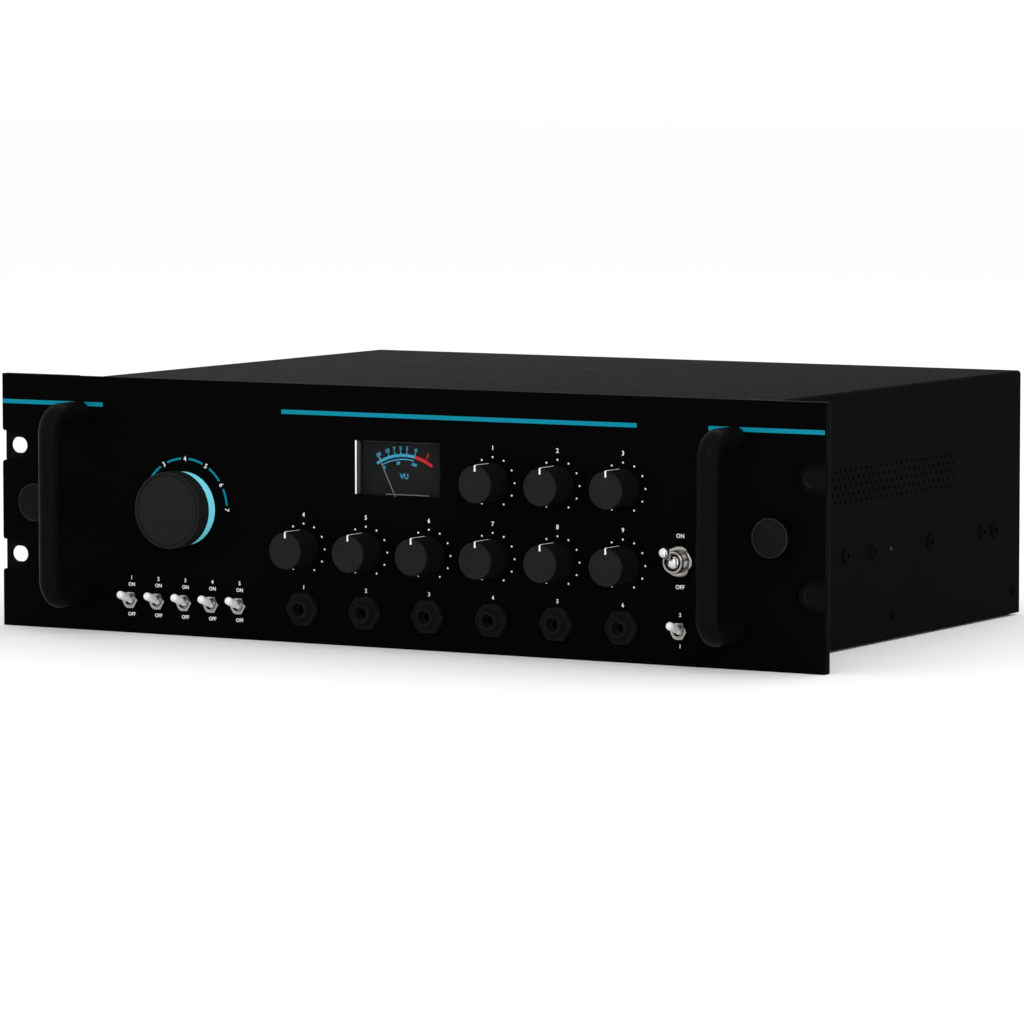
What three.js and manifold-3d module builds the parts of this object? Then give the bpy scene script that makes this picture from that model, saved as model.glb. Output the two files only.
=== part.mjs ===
// Tape echo unit for a 19 inch rack, three units high.
//
// A sleeve case with two ears stays in the rack. A drawer runs in it on two ball
// bearing slides: the front panel with all the controls, a sheet tray, the tape
// deck and the electronics. The deck has a free tape loop in a covered chamber,
// a row of heads, a capstan with its flywheel and belt, and a pinch roller.
//
// Millimetres. X runs to the right, Y from front to back, Z up. Inside the unit
// group the face of the front panel is Y = 0 and its bottom edge is Z = 0. The
// exported group stands on Z = 0 with the middle of its footprint on the Z axis.

import * as THREE from 'three';
import { mergeVertices } from 'three/addons/utils/BufferGeometryUtils.js';
import Module from 'manifold-3d';

const wasm = await Module();
wasm.setup();

// Clearances
const seat = 0.3;
const overrun = 1;
const weldDistance = 0.0001;

// Sheet and panel
const sheet = 1.5;
const panel = {
  width: 482.6,
  height: 132.5,
  thickness: 3,
  notchDepth: 16.2,
  notchHeight: 15.5,
  notchCorner: 1.5,
  cornerSteps: 2,
  notchSteps: 8,
};
const rackHole = { spacing: 57.15, inset: 8.5, width: 9.8, height: 8.4, endSteps: 4 };
const hexSides = 6;

// Case, seen from the panel face. Its half width is a share of the panel's width.
const caseBox = { halfShare: 0.414422, bottom: 1.25, topInset: 1.95, rear: 312.3, rearLip: 1.5 };
const caseFlange = { height: 18.5 };
const ear = { thickness: 2.5, legThickness: 2.2, legDepth: 18.5, legRise: 3, legDrop: 4.3 };
const vent = {
  front: 88,
  top: 91.2,
  rows: 5,
  columns: 3,
  rowPitch: 4,
  columnPitch: 46.8,
  slotLength: 43.4,
  slotHeight: 2,
};
const rearVent = { rows: 3, columns: 3, rowPitch: 8, columnPitch: 54, slotLength: 46, slotHeight: 3 };
const rearVentCentre = { x: -70, z: 92 };
const inlet = {
  wallClear: 52.2,
  z: 42,
  flangeWidth: 52,
  flangeHeight: 32,
  flangeThickness: 2.5,
  bodyWidth: 44,
  bodyHeight: 27,
  bodyDepth: 20,
  socketWidth: 24.5,
  socketHeight: 16.5,
  socketDepth: 15,
  socketCorner: 4,
  socketShift: 5,
  fuseWidth: 7,
  fuseHeight: 20,
  fuseStep: 1.5,
  fuseShift: 18,
  pinWidth: 4,
  pinThickness: 2,
  pinLength: 11,
  pinPitch: 7,
  pinDrop: 4,
};

// Ball bearing slides
const slide = {
  centre: 47.6,
  front: 27,
  length: 263,
  middleLength: 255,
  innerLength: 250,
  height: 45,
  thickness: 12.4,
  metal: 1.2,
  middleHeight: 36.6,
  innerHeight: 28.4,
};
const slideShare = {
  outerReachShare: 0.7,
  middleStartShare: 0.24,
  middleEndShare: 0.84,
  webStartShare: 0.435,
  ballStartShare: 0.355,
  ballEndShare: 0.61,
  innerBallStartShare: 0.645,
  innerBallEndShare: 0.81,
  innerStartShare: 0.6,
};

// Drawer
const tray = {
  floorClearance: 1.75,
  topDrop: 19.05,
  rear: 278,
  flangeReach: 8.5,
  flangeBottom: 6,
  ledgeReach: 12,
  ledgeDrop: 29.5,
  deckRise: 0.3,
  rearHeight: 62,
};
const handle = { placeShare: 0.398052, reach: 29, radius: 6, bend: 10, edge: 18.65, sides: 12, bendSteps: 4 };
const lock = {
  placeShare: 0.44654,
  radius: 9.8,
  height: 9.2,
  edge: 0.7,
  studRadius: 3,
  studLength: 14,
  hole: 3.4,
  bossRadius: 6,
  bossLength: 7,
  sides: 16,
};

// Controls. Places on the panel are shares of its width and height.
const knob = {
  firstShare: -0.115727,
  pitchShare: 0.076875,
  lowerRowShare: 0.36717,
  upperRowShare: 0.654717,
  lowerCount: 6,
  upperFirst: 3,
  faceY: -18.1,
  clear: 0.8,
  faceRadius: 9.8,
  neckRadius: 9.2,
  skirtRadius: 9.7,
  skirtHeight: 5.6,
  edge: 0.6,
  fluteCount: 12,
  fluteDepth: 0.55,
  recessRadius: 6.2,
  recessDepth: 5,
  shaftRadius: 3,
  shaftEnd: 9,
};
const pot = {
  radius: 8.2,
  depth: 10,
  bushingRadius: 4.4,
  bushingReach: 2.6,
  bore: 3.4,
  sides: 10,
  boreSides: 8,
};
const board = { thickness: 1.6, margin: 11 };
const modeKnob = {
  placeShare: -0.264401,
  heightShare: 0.499623,
  faceY: -17.3,
  radius: 19.8,
  rimWidth: 1.3,
  rimDepth: 0.5,
  edge: 0.7,
  capBack: -7.8,
  ringRadius: 19,
  ringClear: 0.8,
  ringInner: 12,
  hubRadius: 8,
  shaftRadius: 3,
  shaftEnd: 12,
  sides: 24,
};
const modeSwitch = {
  radius: 15,
  coreRadius: 9,
  depth: 22,
  decks: 3,
  deckThickness: 2.4,
  bushingRadius: 5,
  bushingReach: 3,
};
const toggle = {
  firstShare: -0.333092,
  pitchShare: 0.034293,
  count: 5,
  z: 17.2,
  nutAcross: 8,
  nutThickness: 2,
  bushingRadius: 3,
  bushingReach: 3.2,
  boreRadius: 2.45,
  pivotDepth: 2,
  ballRadius: 1.85,
  neckRadius: 1.1,
  tipRadius: 2,
  ballTip: false,
  leverLength: 12,
  tilt: 20,
  bodyWidth: 8,
  bodyHeight: 13,
  bodyDepth: 9,
};
const lever = { ballSteps: 3, tipSteps: 3, sides: 8 };
const levelToggle = { placeShare: 0.335164, z: 17.4 };
const powerToggle = {
  placeShare: 0.335164,
  heightShare: 0.391698,
  nutAcross: 14.6,
  nutThickness: 3.2,
  bushingRadius: 5.8,
  bushingReach: 8.4,
  boreRadius: 4.4,
  pivotDepth: 2.4,
  ballRadius: 3.2,
  neckRadius: 1.3,
  tipRadius: 2.8,
  ballTip: true,
  leverLength: 15,
  tilt: 27,
  bodyWidth: 16,
  bodyHeight: 27,
  bodyDepth: 20,
};
const jack = {
  z: 17.4,
  nutAcross: 16,
  nutThickness: 2.6,
  bushingRadius: 5.4,
  bushingReach: 6,
  boreRadius: 3.2,
  boreDepth: 30,
  bodyWidth: 15,
  bodyHeight: 18,
  bodyDepth: 26,
  sides: 8,
  boreSides: 8,
};

// Level meter
const meter = {
  leftShare: -0.052632,
  rightShare: 0.051596,
  bottomShare: 0.581132,
  topShare: 0.796981,
  coverDepth: 7,
  coverWall: 1.2,
  bottomWallDepth: 4.2,
  caseDepth: 31,
  caseSide: 3,
  boardClear: 2.35,
  pocketRise: 2,
  pivotRise: 4,
  pocketTop: 1.2,
  pivotShare: -0.00145,
  needleClear: 4.1,
  needleWidth: 0.5,
  needleThickness: 0.5,
  hubRadius: 2,
  hubThickness: 1.7,
  restAngle: 27,
};

// Deck
const deck = {
  front: 62,
  rear: 274,
  thickness: 2,
  leftClear: 44,
  chamberRight: 86,
  chamberFront: 124,
  chamberRear: 266,
  wall: 2,
  wallHeight: 14,
  slotWidth: 12,
  coverThickness: 2,
  coverBossRadius: 3.5,
};
const tape = {
  thickness: 0.5,
  width: 6.35,
  lift: 4.5,
  runY: 92,
  turn: 24,
  wallClear: 6,
  foldDepth: 98,
  foldInset: 4,
  folds: 6,
  stepsPerFold: 7,
  turnSteps: 6,
  mitreLimitShare: 0.5,
};
const bridge = { right: 26, depth: 20, thickness: 2 };
const head = { width: 13, depth: 14, height: 11, faceBulge: 2.5, faceSteps: 4, gapClear: 0.3 };
const headPlaces = {
  eraseShare: 0.168675,
  recordShare: 0.325301,
  playShare: 0.493976,
  pitchShare: 0.156627,
  playCount: 3,
};
const guide = { inset: 5, radius: 2.5, flangeRadius: 4, flangeThickness: 0.8, sides: 8 };
const capstan = {
  x: 60,
  radius: 3,
  top: 14,
  flywheelRadius: 36,
  grooveRadius: 34,
  flywheelThickness: 12,
  grooveWidth: 6,
  deckGap: 12,
  hubRadius: 9,
  hubHeight: 3,
  bearingRadius: 6,
  bearingHeight: 7,
  bore: 3.3,
  dish: 3,
  rim: 8,
  sides: 24,
  shaftSides: 10,
};
const roller = { radius: 11, bore: 1.9, height: 9, pin: 1.6, sides: 16, boreSides: 8 };
const arm = {
  pivotX: 100,
  pivotY: 74,
  thickness: 2,
  endRadius: 6,
  pivotRadius: 5,
  postRadius: 2.5,
  bore: 2.9,
  postHeight: 7,
  steps: 6,
};
const motor = {
  wallClear: 54,
  y: 150,
  radius: 24,
  baseHalf: 28,
  baseThickness: 2,
  edge: 3,
  pulleyClear: 2.4,
  bore: 1.9,
  boreDepth: 9,
  shaft: 1.6,
  shaftLength: 8,
  sides: 20,
};
const pulley = { radius: 8, groove: 6, sides: 12 };
const belt = { thickness: 1.2, height: 4, arcSteps: 9 };

// Electronics in the tray
const toroid = { wallClear: 64, y: 214, radius: 40, inner: 12, height: 38, edge: 9, edgeSteps: 2, sides: 18 };
const toroidCap = { radius: 24, dish: 2.5, boltRadius: 3, thickness: 1.5 };
const tank = {
  toroidClear: 52,
  wallClear: 18,
  front: 186,
  rear: 270,
  height: 30,
  lip: 6,
  lipThickness: 2,
  beadCount: 3,
  beadReachShare: 0.8,
  beadWidth: 7,
  beadHeight: 1.5,
};
const mainBoard = {
  wallClear: 18,
  motorClear: 34,
  front: 58,
  rear: 168,
  rise: 10,
  postRadius: 3,
  postInset: 6,
  capRadius: 8,
  capHeight: 22,
  capPitch: 20,
  capCount: 4,
  capInset: 26,
  sinkLength: 60,
  sinkDepth: 12,
  sinkHeight: 20,
  sinkFins: 6,
  finThickness: 2,
  chipLength: 20,
  chipWidth: 7,
  chipHeight: 3,
  chipPitchShare: 0.114504,
  chipCount: 6,
  chipRow: 30,
};

// Places worked out from the sizes above
const panelMiddle = panel.height / 2;
const panelSide = panel.width / 2;
const caseHalf = panel.width * caseBox.halfShare;
const caseTop = panel.height - caseBox.topInset;
const earFront = panel.thickness + seat;
const earBack = earFront + ear.thickness;
const caseFront = earBack + seat;
const caseInner = caseHalf - sheet;
const floorTop = caseBox.bottom + sheet;
const slideWall = caseInner - seat;
const trayHalf = slideWall - slide.thickness - seat;
const trayInner = trayHalf - sheet;
const trayBottom = floorTop + tray.floorClearance;
const trayFloorTop = trayBottom + sheet;
const trayTop = caseTop - tray.topDrop;
const behindPanel = panel.thickness + seat;
const frontOfPanel = -seat;
const rearPanelBack = caseBox.rear - caseBox.rearLip;
const rearPanelFront = rearPanelBack - sheet;
const inletX = slideWall - inlet.wallClear;
const handleFront = handle.reach + handle.radius;
const overallDepth = handleFront + caseBox.rear + inlet.flangeThickness - caseBox.rearLip + seat;
const ledgeTop = trayTop - tray.ledgeDrop;
const deckBottom = ledgeTop + tray.deckRise;
const deckTop = deckBottom + deck.thickness;
const tapeBottom = deckTop + tape.lift;
const tapeTop = tapeBottom + tape.width;
const bridgeBottom = deckTop + seat;
const bridgeTop = bridgeBottom + bridge.thickness;
const capstanY = tape.runY + tape.thickness / 2 + seat + capstan.radius;
const rollerY = tape.runY - tape.thickness / 2 - seat - roller.radius;
const flywheelTop = deckBottom - capstan.deckGap;
const flywheelBottom = flywheelTop - capstan.flywheelThickness;
const grooveMiddle = (flywheelTop + flywheelBottom) / 2;
const motorTop = flywheelBottom - motor.pulleyClear;
const meterDial = behindPanel + meter.coverDepth - panel.thickness + seat;
const lowerRow = panel.height * knob.lowerRowShare;
const upperRow = panel.height * knob.upperRowShare;
const knobFirst = panel.width * knob.firstShare;
const knobPitch = panel.width * knob.pitchShare;
const modePlace = { x: panel.width * modeKnob.placeShare, z: panel.height * modeKnob.heightShare };
const powerPlace = { x: panel.width * powerToggle.placeShare, z: panel.height * powerToggle.heightShare };
const levelPlace = { x: panel.width * levelToggle.placeShare, z: levelToggle.z };
const lockPlace = panel.width * lock.placeShare;
const handlePlace = panel.width * handle.placeShare;
const meterAcross = [panel.width * meter.leftShare, panel.width * meter.rightShare];
const meterUp = [panel.height * meter.bottomShare, panel.height * meter.topShare];
const meterCaseBottom = lowerRow + board.margin + meter.boardClear;
const pocketBottom = meterCaseBottom + meter.pocketRise;
const pivotZ = pocketBottom + meter.pivotRise;
const needleLength = meterUp[1] - pivotZ - meter.needleClear;
const chamberAcross = [deck.leftClear - trayInner, deck.chamberRight];
const bridgeAcross = [chamberAcross[0], bridge.right];
const motorX = trayInner - motor.wallClear;
const toroidX = toroid.wallClear - trayInner;
const tankAcross = [toroidX + tank.toroidClear, trayInner - tank.wallClear];
const mainBoardAcross = [mainBoard.wallClear - trayInner, motorX - mainBoard.motorClear];

const degree = Math.PI / 180;
const fullTurn = 2 * Math.PI;

// Surfaces
function finish(color, roughness, metalness) {
  return new THREE.MeshStandardMaterial({ color, roughness, metalness });
}

const finishes = {
  blackPanel: finish(0x060606, 0.45, 0.4),
  blackCase: finish(0x151515, 0.6, 0.4),
  blackBar: finish(0x171717, 0.4, 0.3),
  blackPlastic: finish(0x1e1e1e, 0.5, 0),
  darkPlastic: finish(0x141414, 0.6, 0),
  cyanPlastic: finish(0x64cde3, 0.45, 0),
  steel: finish(0xa9abae, 0.35, 0.9),
  chrome: finish(0xd8d8d8, 0.12, 1),
  whiteLever: finish(0xd9d9d6, 0.3, 0.4),
  aluminium: finish(0xb9bbbd, 0.4, 0.9),
  brass: finish(0xb99a54, 0.35, 0.9),
  rubber: finish(0x161616, 0.85, 0),
  clear: finish(0xdfe8ea, 0.08, 0),
  dial: finish(0x1b1b1b, 0.6, 0),
  greenBoard: finish(0x1d5a34, 0.5, 0.1),
  tape: finish(0x3b2417, 0.35, 0),
  copper: finish(0xa4552c, 0.45, 0.5),
};

// A closed mesh with shared corners, no flat triangles and its faces outward
function weld(source) {
  const bare = new THREE.BufferGeometry();
  bare.setAttribute('position', source.getAttribute('position').clone());
  if (source.index) {
    bare.setIndex(source.index.clone());
  }
  const merged = mergeVertices(bare, weldDistance);
  const index = merged.index.array;
  const kept = [];
  for (let i = 0; i < index.length; i += 3) {
    const [a, b, c] = [index[i], index[i + 1], index[i + 2]];
    if (a !== b && b !== c && a !== c) {
      kept.push(a, b, c);
    }
  }
  merged.setIndex(kept);
  if (signedVolume(merged) < 0) {
    for (let i = 0; i < kept.length; i += 3) {
      [kept[i], kept[i + 1]] = [kept[i + 1], kept[i]];
    }
    merged.setIndex(kept);
  }
  return merged;
}

function signedVolume(geometry) {
  const place = geometry.getAttribute('position');
  const index = geometry.index.array;
  const [a, b, c] = [new THREE.Vector3(), new THREE.Vector3(), new THREE.Vector3()];
  let sum = 0;
  for (let i = 0; i < index.length; i += 3) {
    a.fromBufferAttribute(place, index[i]);
    b.fromBufferAttribute(place, index[i + 1]);
    c.fromBufferAttribute(place, index[i + 2]);
    sum += a.dot(b.cross(c));
  }
  return sum;
}

function solid(geometry) {
  const closed = weld(geometry);
  return new wasm.Manifold(new wasm.Mesh({
    numProp: 3,
    vertProperties: new Float32Array(closed.getAttribute('position').array),
    triVerts: new Uint32Array(closed.index.array),
  }));
}

function joined(solids) {
  return solids.reduce((whole, next) => whole.add(next));
}

function cut(body, cutters) {
  return cutters.reduce((rest, cutter) => rest.subtract(cutter), body);
}

function geometryOf(body) {
  const mesh = body.getMesh();
  const geometry = new THREE.BufferGeometry();
  geometry.setAttribute('position', new THREE.BufferAttribute(mesh.vertProperties, mesh.numProp));
  geometry.setIndex(new THREE.BufferAttribute(mesh.triVerts, 1));
  return geometry;
}

// Basic forms, all placed by their limits
function block(x, y, z) {
  const geometry = new THREE.BoxGeometry(x[1] - x[0], y[1] - y[0], z[1] - z[0]);
  geometry.translate((x[0] + x[1]) / 2, (y[0] + y[1]) / 2, (z[0] + z[1]) / 2);
  return solid(geometry);
}

function ringPoints(x, y, radius, sides, phase = 0) {
  const points = [];
  for (let i = 0; i < sides; i += 1) {
    const angle = phase + (fullTurn * i) / sides;
    points.push(new THREE.Vector2(x + radius * Math.cos(angle), y + radius * Math.sin(angle)));
  }
  return points;
}

function shapeWithHoles(points, holes = []) {
  const shape = new THREE.Shape(points);
  shape.holes = holes.map((hole) => new THREE.Path(hole));
  return shape;
}

function standing(shape, bottom, top) {
  const geometry = new THREE.ExtrudeGeometry(shape, { depth: top - bottom, bevelEnabled: false });
  geometry.translate(0, 0, bottom);
  return geometry;
}

function facing(shape, front, back) {
  const geometry = new THREE.ExtrudeGeometry(shape, { depth: back - front, bevelEnabled: false });
  geometry.rotateX(Math.PI / 2);
  geometry.translate(0, back, 0);
  return geometry;
}

function rodAlongY(x, z, radius, front, back, sides, phase = 0) {
  return solid(facing(shapeWithHoles(ringPoints(x, z, radius, sides, phase)), front, back));
}

function post(x, y, radius, bottom, top, sides) {
  return solid(standing(shapeWithHoles(ringPoints(x, y, radius, sides)), bottom, top));
}

function turned(profile, sides) {
  return new THREE.LatheGeometry(profile.map(([r, y]) => new THREE.Vector2(r, y)), sides);
}

function rectangle(left, right, bottom, top) {
  return [
    new THREE.Vector2(left, bottom),
    new THREE.Vector2(right, bottom),
    new THREE.Vector2(right, top),
    new THREE.Vector2(left, top),
  ];
}

function slotPoints(x, y, width, height, steps) {
  const radius = height / 2;
  const reach = width / 2 - radius;
  const points = [];
  for (const side of [1, -1]) {
    for (let i = 0; i <= steps; i += 1) {
      const angle = (Math.PI * i) / steps - Math.PI / 2;
      points.push(new THREE.Vector2(
        x + side * (reach + radius * Math.cos(angle)),
        y + side * radius * Math.sin(angle),
      ));
    }
  }
  return points;
}

function hexRadius(across) {
  return across / Math.sqrt(3);
}

// The assembly
const unit = new THREE.Group();

function piece(name, shape, material, parent = unit) {
  const geometry = shape instanceof wasm.Manifold ? geometryOf(shape) : weld(shape);
  geometry.computeVertexNormals();
  const mesh = new THREE.Mesh(geometry, material);
  mesh.name = name;
  parent.add(mesh);
  return mesh;
}

// Front panel
function rackHoleHeights() {
  return [panelMiddle - rackHole.spacing / 2, panelMiddle + rackHole.spacing / 2];
}

function arcPoints(x, y, radius, from, to, steps) {
  const points = [];
  for (let i = 0; i <= steps; i += 1) {
    const angle = from + ((to - from) * i) / steps;
    points.push(new THREE.Vector2(x + radius * Math.cos(angle), y + radius * Math.sin(angle)));
  }
  return points;
}

// The right edge from bottom to top, with a round-ended notch at each rack hole
function panelEdge() {
  const side = panelSide;
  const half = panel.notchHeight / 2;
  const corner = panel.notchCorner;
  const inner = side - panel.notchDepth + half;
  const quarter = Math.PI / 2;
  const points = [new THREE.Vector2(side, 0)];
  for (const z of rackHoleHeights()) {
    points.push(
      ...arcPoints(side - corner, z - half - corner, corner, 0, quarter, panel.cornerSteps),
      ...arcPoints(inner, z, half, -quarter, -3 * quarter, panel.notchSteps),
      ...arcPoints(side - corner, z + half + corner, corner, -quarter, 0, panel.cornerSteps),
    );
  }
  points.push(new THREE.Vector2(side, panel.height));
  return points;
}

function knobPlaces() {
  const places = [];
  for (let i = 0; i < knob.lowerCount; i += 1) {
    places.push({ name: `knob_lower_${i + 1}`, x: knobFirst + i * knobPitch, z: lowerRow });
  }
  for (let i = knob.upperFirst; i < knob.lowerCount; i += 1) {
    const number = i - knob.upperFirst + 1;
    places.push({ name: `knob_upper_${number}`, x: knobFirst + i * knobPitch, z: upperRow });
  }
  return places;
}

function jackPlaces() {
  return knobPlaces().filter((place) => place.z === lowerRow).map((place) => place.x);
}

function togglePlaces() {
  const shares = Array.from({ length: toggle.count }, (_, i) => toggle.firstShare + i * toggle.pitchShare);
  return shares.map((share) => panel.width * share);
}

function makeFrontPanel() {
  const right = panelEdge();
  const left = right.map((point) => new THREE.Vector2(-point.x, point.y)).reverse();
  const holes = [
    ...knobPlaces().map((place) => ringPoints(place.x, place.z, pot.bushingRadius + seat, pot.boreSides)),
    ...jackPlaces().map((x) => ringPoints(x, jack.z, jack.bushingRadius + seat, jack.sides)),
    ...togglePlaces().map((x) => ringPoints(x, toggle.z, toggle.bushingRadius + seat, jack.sides)),
    ringPoints(levelPlace.x, levelPlace.z, toggle.bushingRadius + seat, jack.sides),
    ringPoints(powerPlace.x, powerPlace.z, powerToggle.bushingRadius + seat, jack.sides),
    ringPoints(modePlace.x, modePlace.z, modeSwitch.bushingRadius + seat, jack.sides),
    ringPoints(-lockPlace, panelMiddle, lock.hole, jack.sides),
    ringPoints(lockPlace, panelMiddle, lock.hole, jack.sides),
    rectangle(...meterAcross, ...meterUp),
  ];
  return facing(shapeWithHoles([...right, ...left], holes), 0, panel.thickness);
}

// A path whose rings stand exactly at its own stations
class StationPath extends THREE.Curve {
  constructor(stations) {
    super();
    this.stations = stations;
  }

  getPoint(t, target = new THREE.Vector3()) {
    const last = this.stations.length - 1;
    const place = Math.min(Math.max(t, 0), 1) * last;
    const index = Math.min(Math.floor(place), last - 1);
    return target.lerpVectors(this.stations[index], this.stations[index + 1], place - index);
  }

  getPointAt(t, target) {
    return this.getPoint(t, target);
  }

  getTangentAt(t, target) {
    return this.getTangent(t, target);
  }
}

function handlePath() {
  const half = panelMiddle - handle.edge;
  const bendCentre = -(handle.reach - handle.bend);
  const stations = [new THREE.Vector3(0, frontOfPanel, -half)];
  for (const side of [-1, 1]) {
    for (let i = 0; i <= handle.bendSteps; i += 1) {
      const share = side < 0 ? i / handle.bendSteps : 1 - i / handle.bendSteps;
      const angle = (share * Math.PI) / 2;
      stations.push(new THREE.Vector3(
        0,
        bendCentre - handle.bend * Math.sin(angle),
        side * (half - handle.bend + handle.bend * Math.cos(angle)),
      ));
    }
  }
  stations.push(new THREE.Vector3(0, frontOfPanel, half));
  return stations;
}

function makeHandle() {
  const stations = handlePath();
  const section = new THREE.Shape(ringPoints(0, 0, handle.radius, handle.sides));
  return new THREE.ExtrudeGeometry(section, {
    steps: stations.length - 1,
    extrudePath: new StationPath(stations),
  });
}

// Case
function ventCutters(side) {
  const cutters = [];
  const outer = side * (caseHalf + overrun);
  const inner = side * (caseInner - overrun);
  const across = [Math.min(outer, inner), Math.max(outer, inner)];
  for (let row = 0; row < vent.rows; row += 1) {
    for (let column = 0; column < vent.columns; column += 1) {
      const top = vent.top - row * vent.rowPitch;
      const front = vent.front + column * vent.columnPitch;
      cutters.push(block(across, [front, front + vent.slotLength], [top - vent.slotHeight, top]));
    }
  }
  return cutters;
}

function makeCaseCover() {
  const outer = rectangle(-caseHalf, caseHalf, caseBox.bottom, caseTop);
  const shell = solid(facing(shapeWithHoles(outer), caseFront, caseBox.rear));
  const hollow = block(
    [-caseInner, caseInner],
    [caseFront - overrun, caseBox.rear + overrun],
    [caseBox.bottom - overrun, caseTop - sheet],
  );
  return cut(shell, [hollow, ...ventCutters(1), ...ventCutters(-1)]);
}

function makeCaseFloor() {
  const half = slideWall;
  const inner = half - sheet;
  const top = floorTop + caseFlange.height;
  return facing(shapeWithHoles([
    new THREE.Vector2(-half, caseBox.bottom),
    new THREE.Vector2(half, caseBox.bottom),
    new THREE.Vector2(half, top),
    new THREE.Vector2(inner, top),
    new THREE.Vector2(inner, floorTop),
    new THREE.Vector2(-inner, floorTop),
    new THREE.Vector2(-inner, top),
    new THREE.Vector2(-half, top),
  ]), caseFront, rearPanelFront - seat);
}

function rearVentCutters(front, back) {
  const cutters = [];
  for (let row = 0; row < rearVent.rows; row += 1) {
    for (let column = 0; column < rearVent.columns; column += 1) {
      const x = rearVentCentre.x + (column - (rearVent.columns - 1) / 2) * rearVent.columnPitch;
      const z = rearVentCentre.z + (row - (rearVent.rows - 1) / 2) * rearVent.rowPitch;
      const halfLength = rearVent.slotLength / 2;
      const halfHeight = rearVent.slotHeight / 2;
      const across = [x - halfLength, x + halfLength];
      cutters.push(block(across, [front, back], [z - halfHeight, z + halfHeight]));
    }
  }
  return cutters;
}

function makeRearPanel() {
  const [front, back] = [rearPanelFront - overrun, rearPanelBack + overrun];
  const halfWidth = inlet.bodyWidth / 2 + seat;
  const halfHeight = inlet.bodyHeight / 2 + seat;
  const plate = block(
    [-slideWall, slideWall],
    [rearPanelFront, rearPanelBack],
    [caseBox.bottom, caseTop - sheet - seat],
  );
  const inletHole = block(
    [inletX - halfWidth, inletX + halfWidth],
    [front, back],
    [inlet.z - halfHeight, inlet.z + halfHeight],
  );
  return cut(plate, [inletHole, ...rearVentCutters(front, back)]);
}

function chamferedSocket(x, z) {
  const halfWidth = inlet.socketWidth / 2;
  const halfHeight = inlet.socketHeight / 2;
  const corner = inlet.socketCorner;
  return [
    new THREE.Vector2(x - halfWidth, z - halfHeight),
    new THREE.Vector2(x + halfWidth, z - halfHeight),
    new THREE.Vector2(x + halfWidth, z + halfHeight - corner),
    new THREE.Vector2(x + halfWidth - corner, z + halfHeight),
    new THREE.Vector2(x - halfWidth + corner, z + halfHeight),
    new THREE.Vector2(x - halfWidth, z + halfHeight - corner),
  ];
}

function makeMainsInlet() {
  const flangeBack = rearPanelBack + seat + inlet.flangeThickness;
  const socketX = inletX - inlet.socketShift;
  const socketFloor = flangeBack - inlet.socketDepth;
  const bodyFront = flangeBack - inlet.flangeThickness - inlet.bodyDepth;
  const flange = block(
    [inletX - inlet.flangeWidth / 2, inletX + inlet.flangeWidth / 2],
    [rearPanelBack + seat, flangeBack],
    [inlet.z - inlet.flangeHeight / 2, inlet.z + inlet.flangeHeight / 2],
  );
  const body = block(
    [inletX - inlet.bodyWidth / 2, inletX + inlet.bodyWidth / 2],
    [bodyFront, flangeBack - seat],
    [inlet.z - inlet.bodyHeight / 2, inlet.z + inlet.bodyHeight / 2],
  );
  const socketShape = shapeWithHoles(chamferedSocket(socketX, inlet.z));
  const socket = solid(facing(socketShape, socketFloor, flangeBack + overrun));
  const fuseX = inletX + inlet.fuseShift;
  const fuseStep = block(
    [fuseX - inlet.fuseWidth / 2, fuseX + inlet.fuseWidth / 2],
    [flangeBack - inlet.fuseStep, flangeBack + overrun],
    [inlet.z - inlet.fuseHeight / 2, inlet.z + inlet.fuseHeight / 2],
  );
  const pins = [-1, 0, 1].map((place) => {
    const x = socketX + place * inlet.pinPitch;
    const z = inlet.z + (place === 0 ? inlet.pinDrop / 2 : -inlet.pinDrop / 2);
    return block(
      [x - inlet.pinThickness / 2, x + inlet.pinThickness / 2],
      [socketFloor - overrun, socketFloor + inlet.pinLength],
      [z - inlet.pinWidth / 2, z + inlet.pinWidth / 2],
    );
  });
  return joined([cut(flange.add(body), [socket, fuseStep]), ...pins]);
}

function makeEar(side) {
  const legOuter = slideWall;
  const legInner = legOuter - ear.legThickness;
  const lockX = side * lockPlace;
  const plateAcross = [side * legInner, side * panelSide].sort((a, b) => a - b);
  const plate = block(plateAcross, [earFront, earBack], [0, panel.height]);
  const legAcross = [side * legInner, side * legOuter].sort((a, b) => a - b);
  const legBottom = floorTop + caseFlange.height + ear.legRise;
  const leg = block(legAcross, [earFront, earFront + ear.legDepth], [legBottom, caseTop - ear.legDrop]);
  const bossBack = earBack + lock.bossLength;
  const boss = rodAlongY(lockX, panelMiddle, lock.bossRadius, earBack - sheet, bossBack, jack.sides);
  const bore = rodAlongY(lockX, panelMiddle, lock.hole, earFront - overrun, bossBack + overrun, jack.sides);
  const slots = rackHoleHeights().map((z) => {
    const x = side * (panelSide - rackHole.inset);
    const outline = slotPoints(x, z, rackHole.width, rackHole.height, rackHole.endSteps);
    return solid(facing(shapeWithHoles(outline), earFront - overrun, earBack + overrun));
  });
  return cut(joined([plate, leg, boss]), [bore, ...slots]);
}

// Slides: places count inward from the case wall
function slidePoint(side, inward, z) {
  return new THREE.Vector2(side * (slideWall - inward), slide.centre + z);
}

function makeSlideOuter(side) {
  const reach = slide.thickness * slideShare.outerReachShare;
  const half = slide.height / 2;
  const inside = half - slide.metal;
  return facing(shapeWithHoles([
    slidePoint(side, 0, half),
    slidePoint(side, reach, half),
    slidePoint(side, reach, inside),
    slidePoint(side, slide.metal, inside),
    slidePoint(side, slide.metal, -inside),
    slidePoint(side, reach, -inside),
    slidePoint(side, reach, -half),
    slidePoint(side, 0, -half),
  ]), slide.front, slide.front + slide.length);
}

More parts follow.
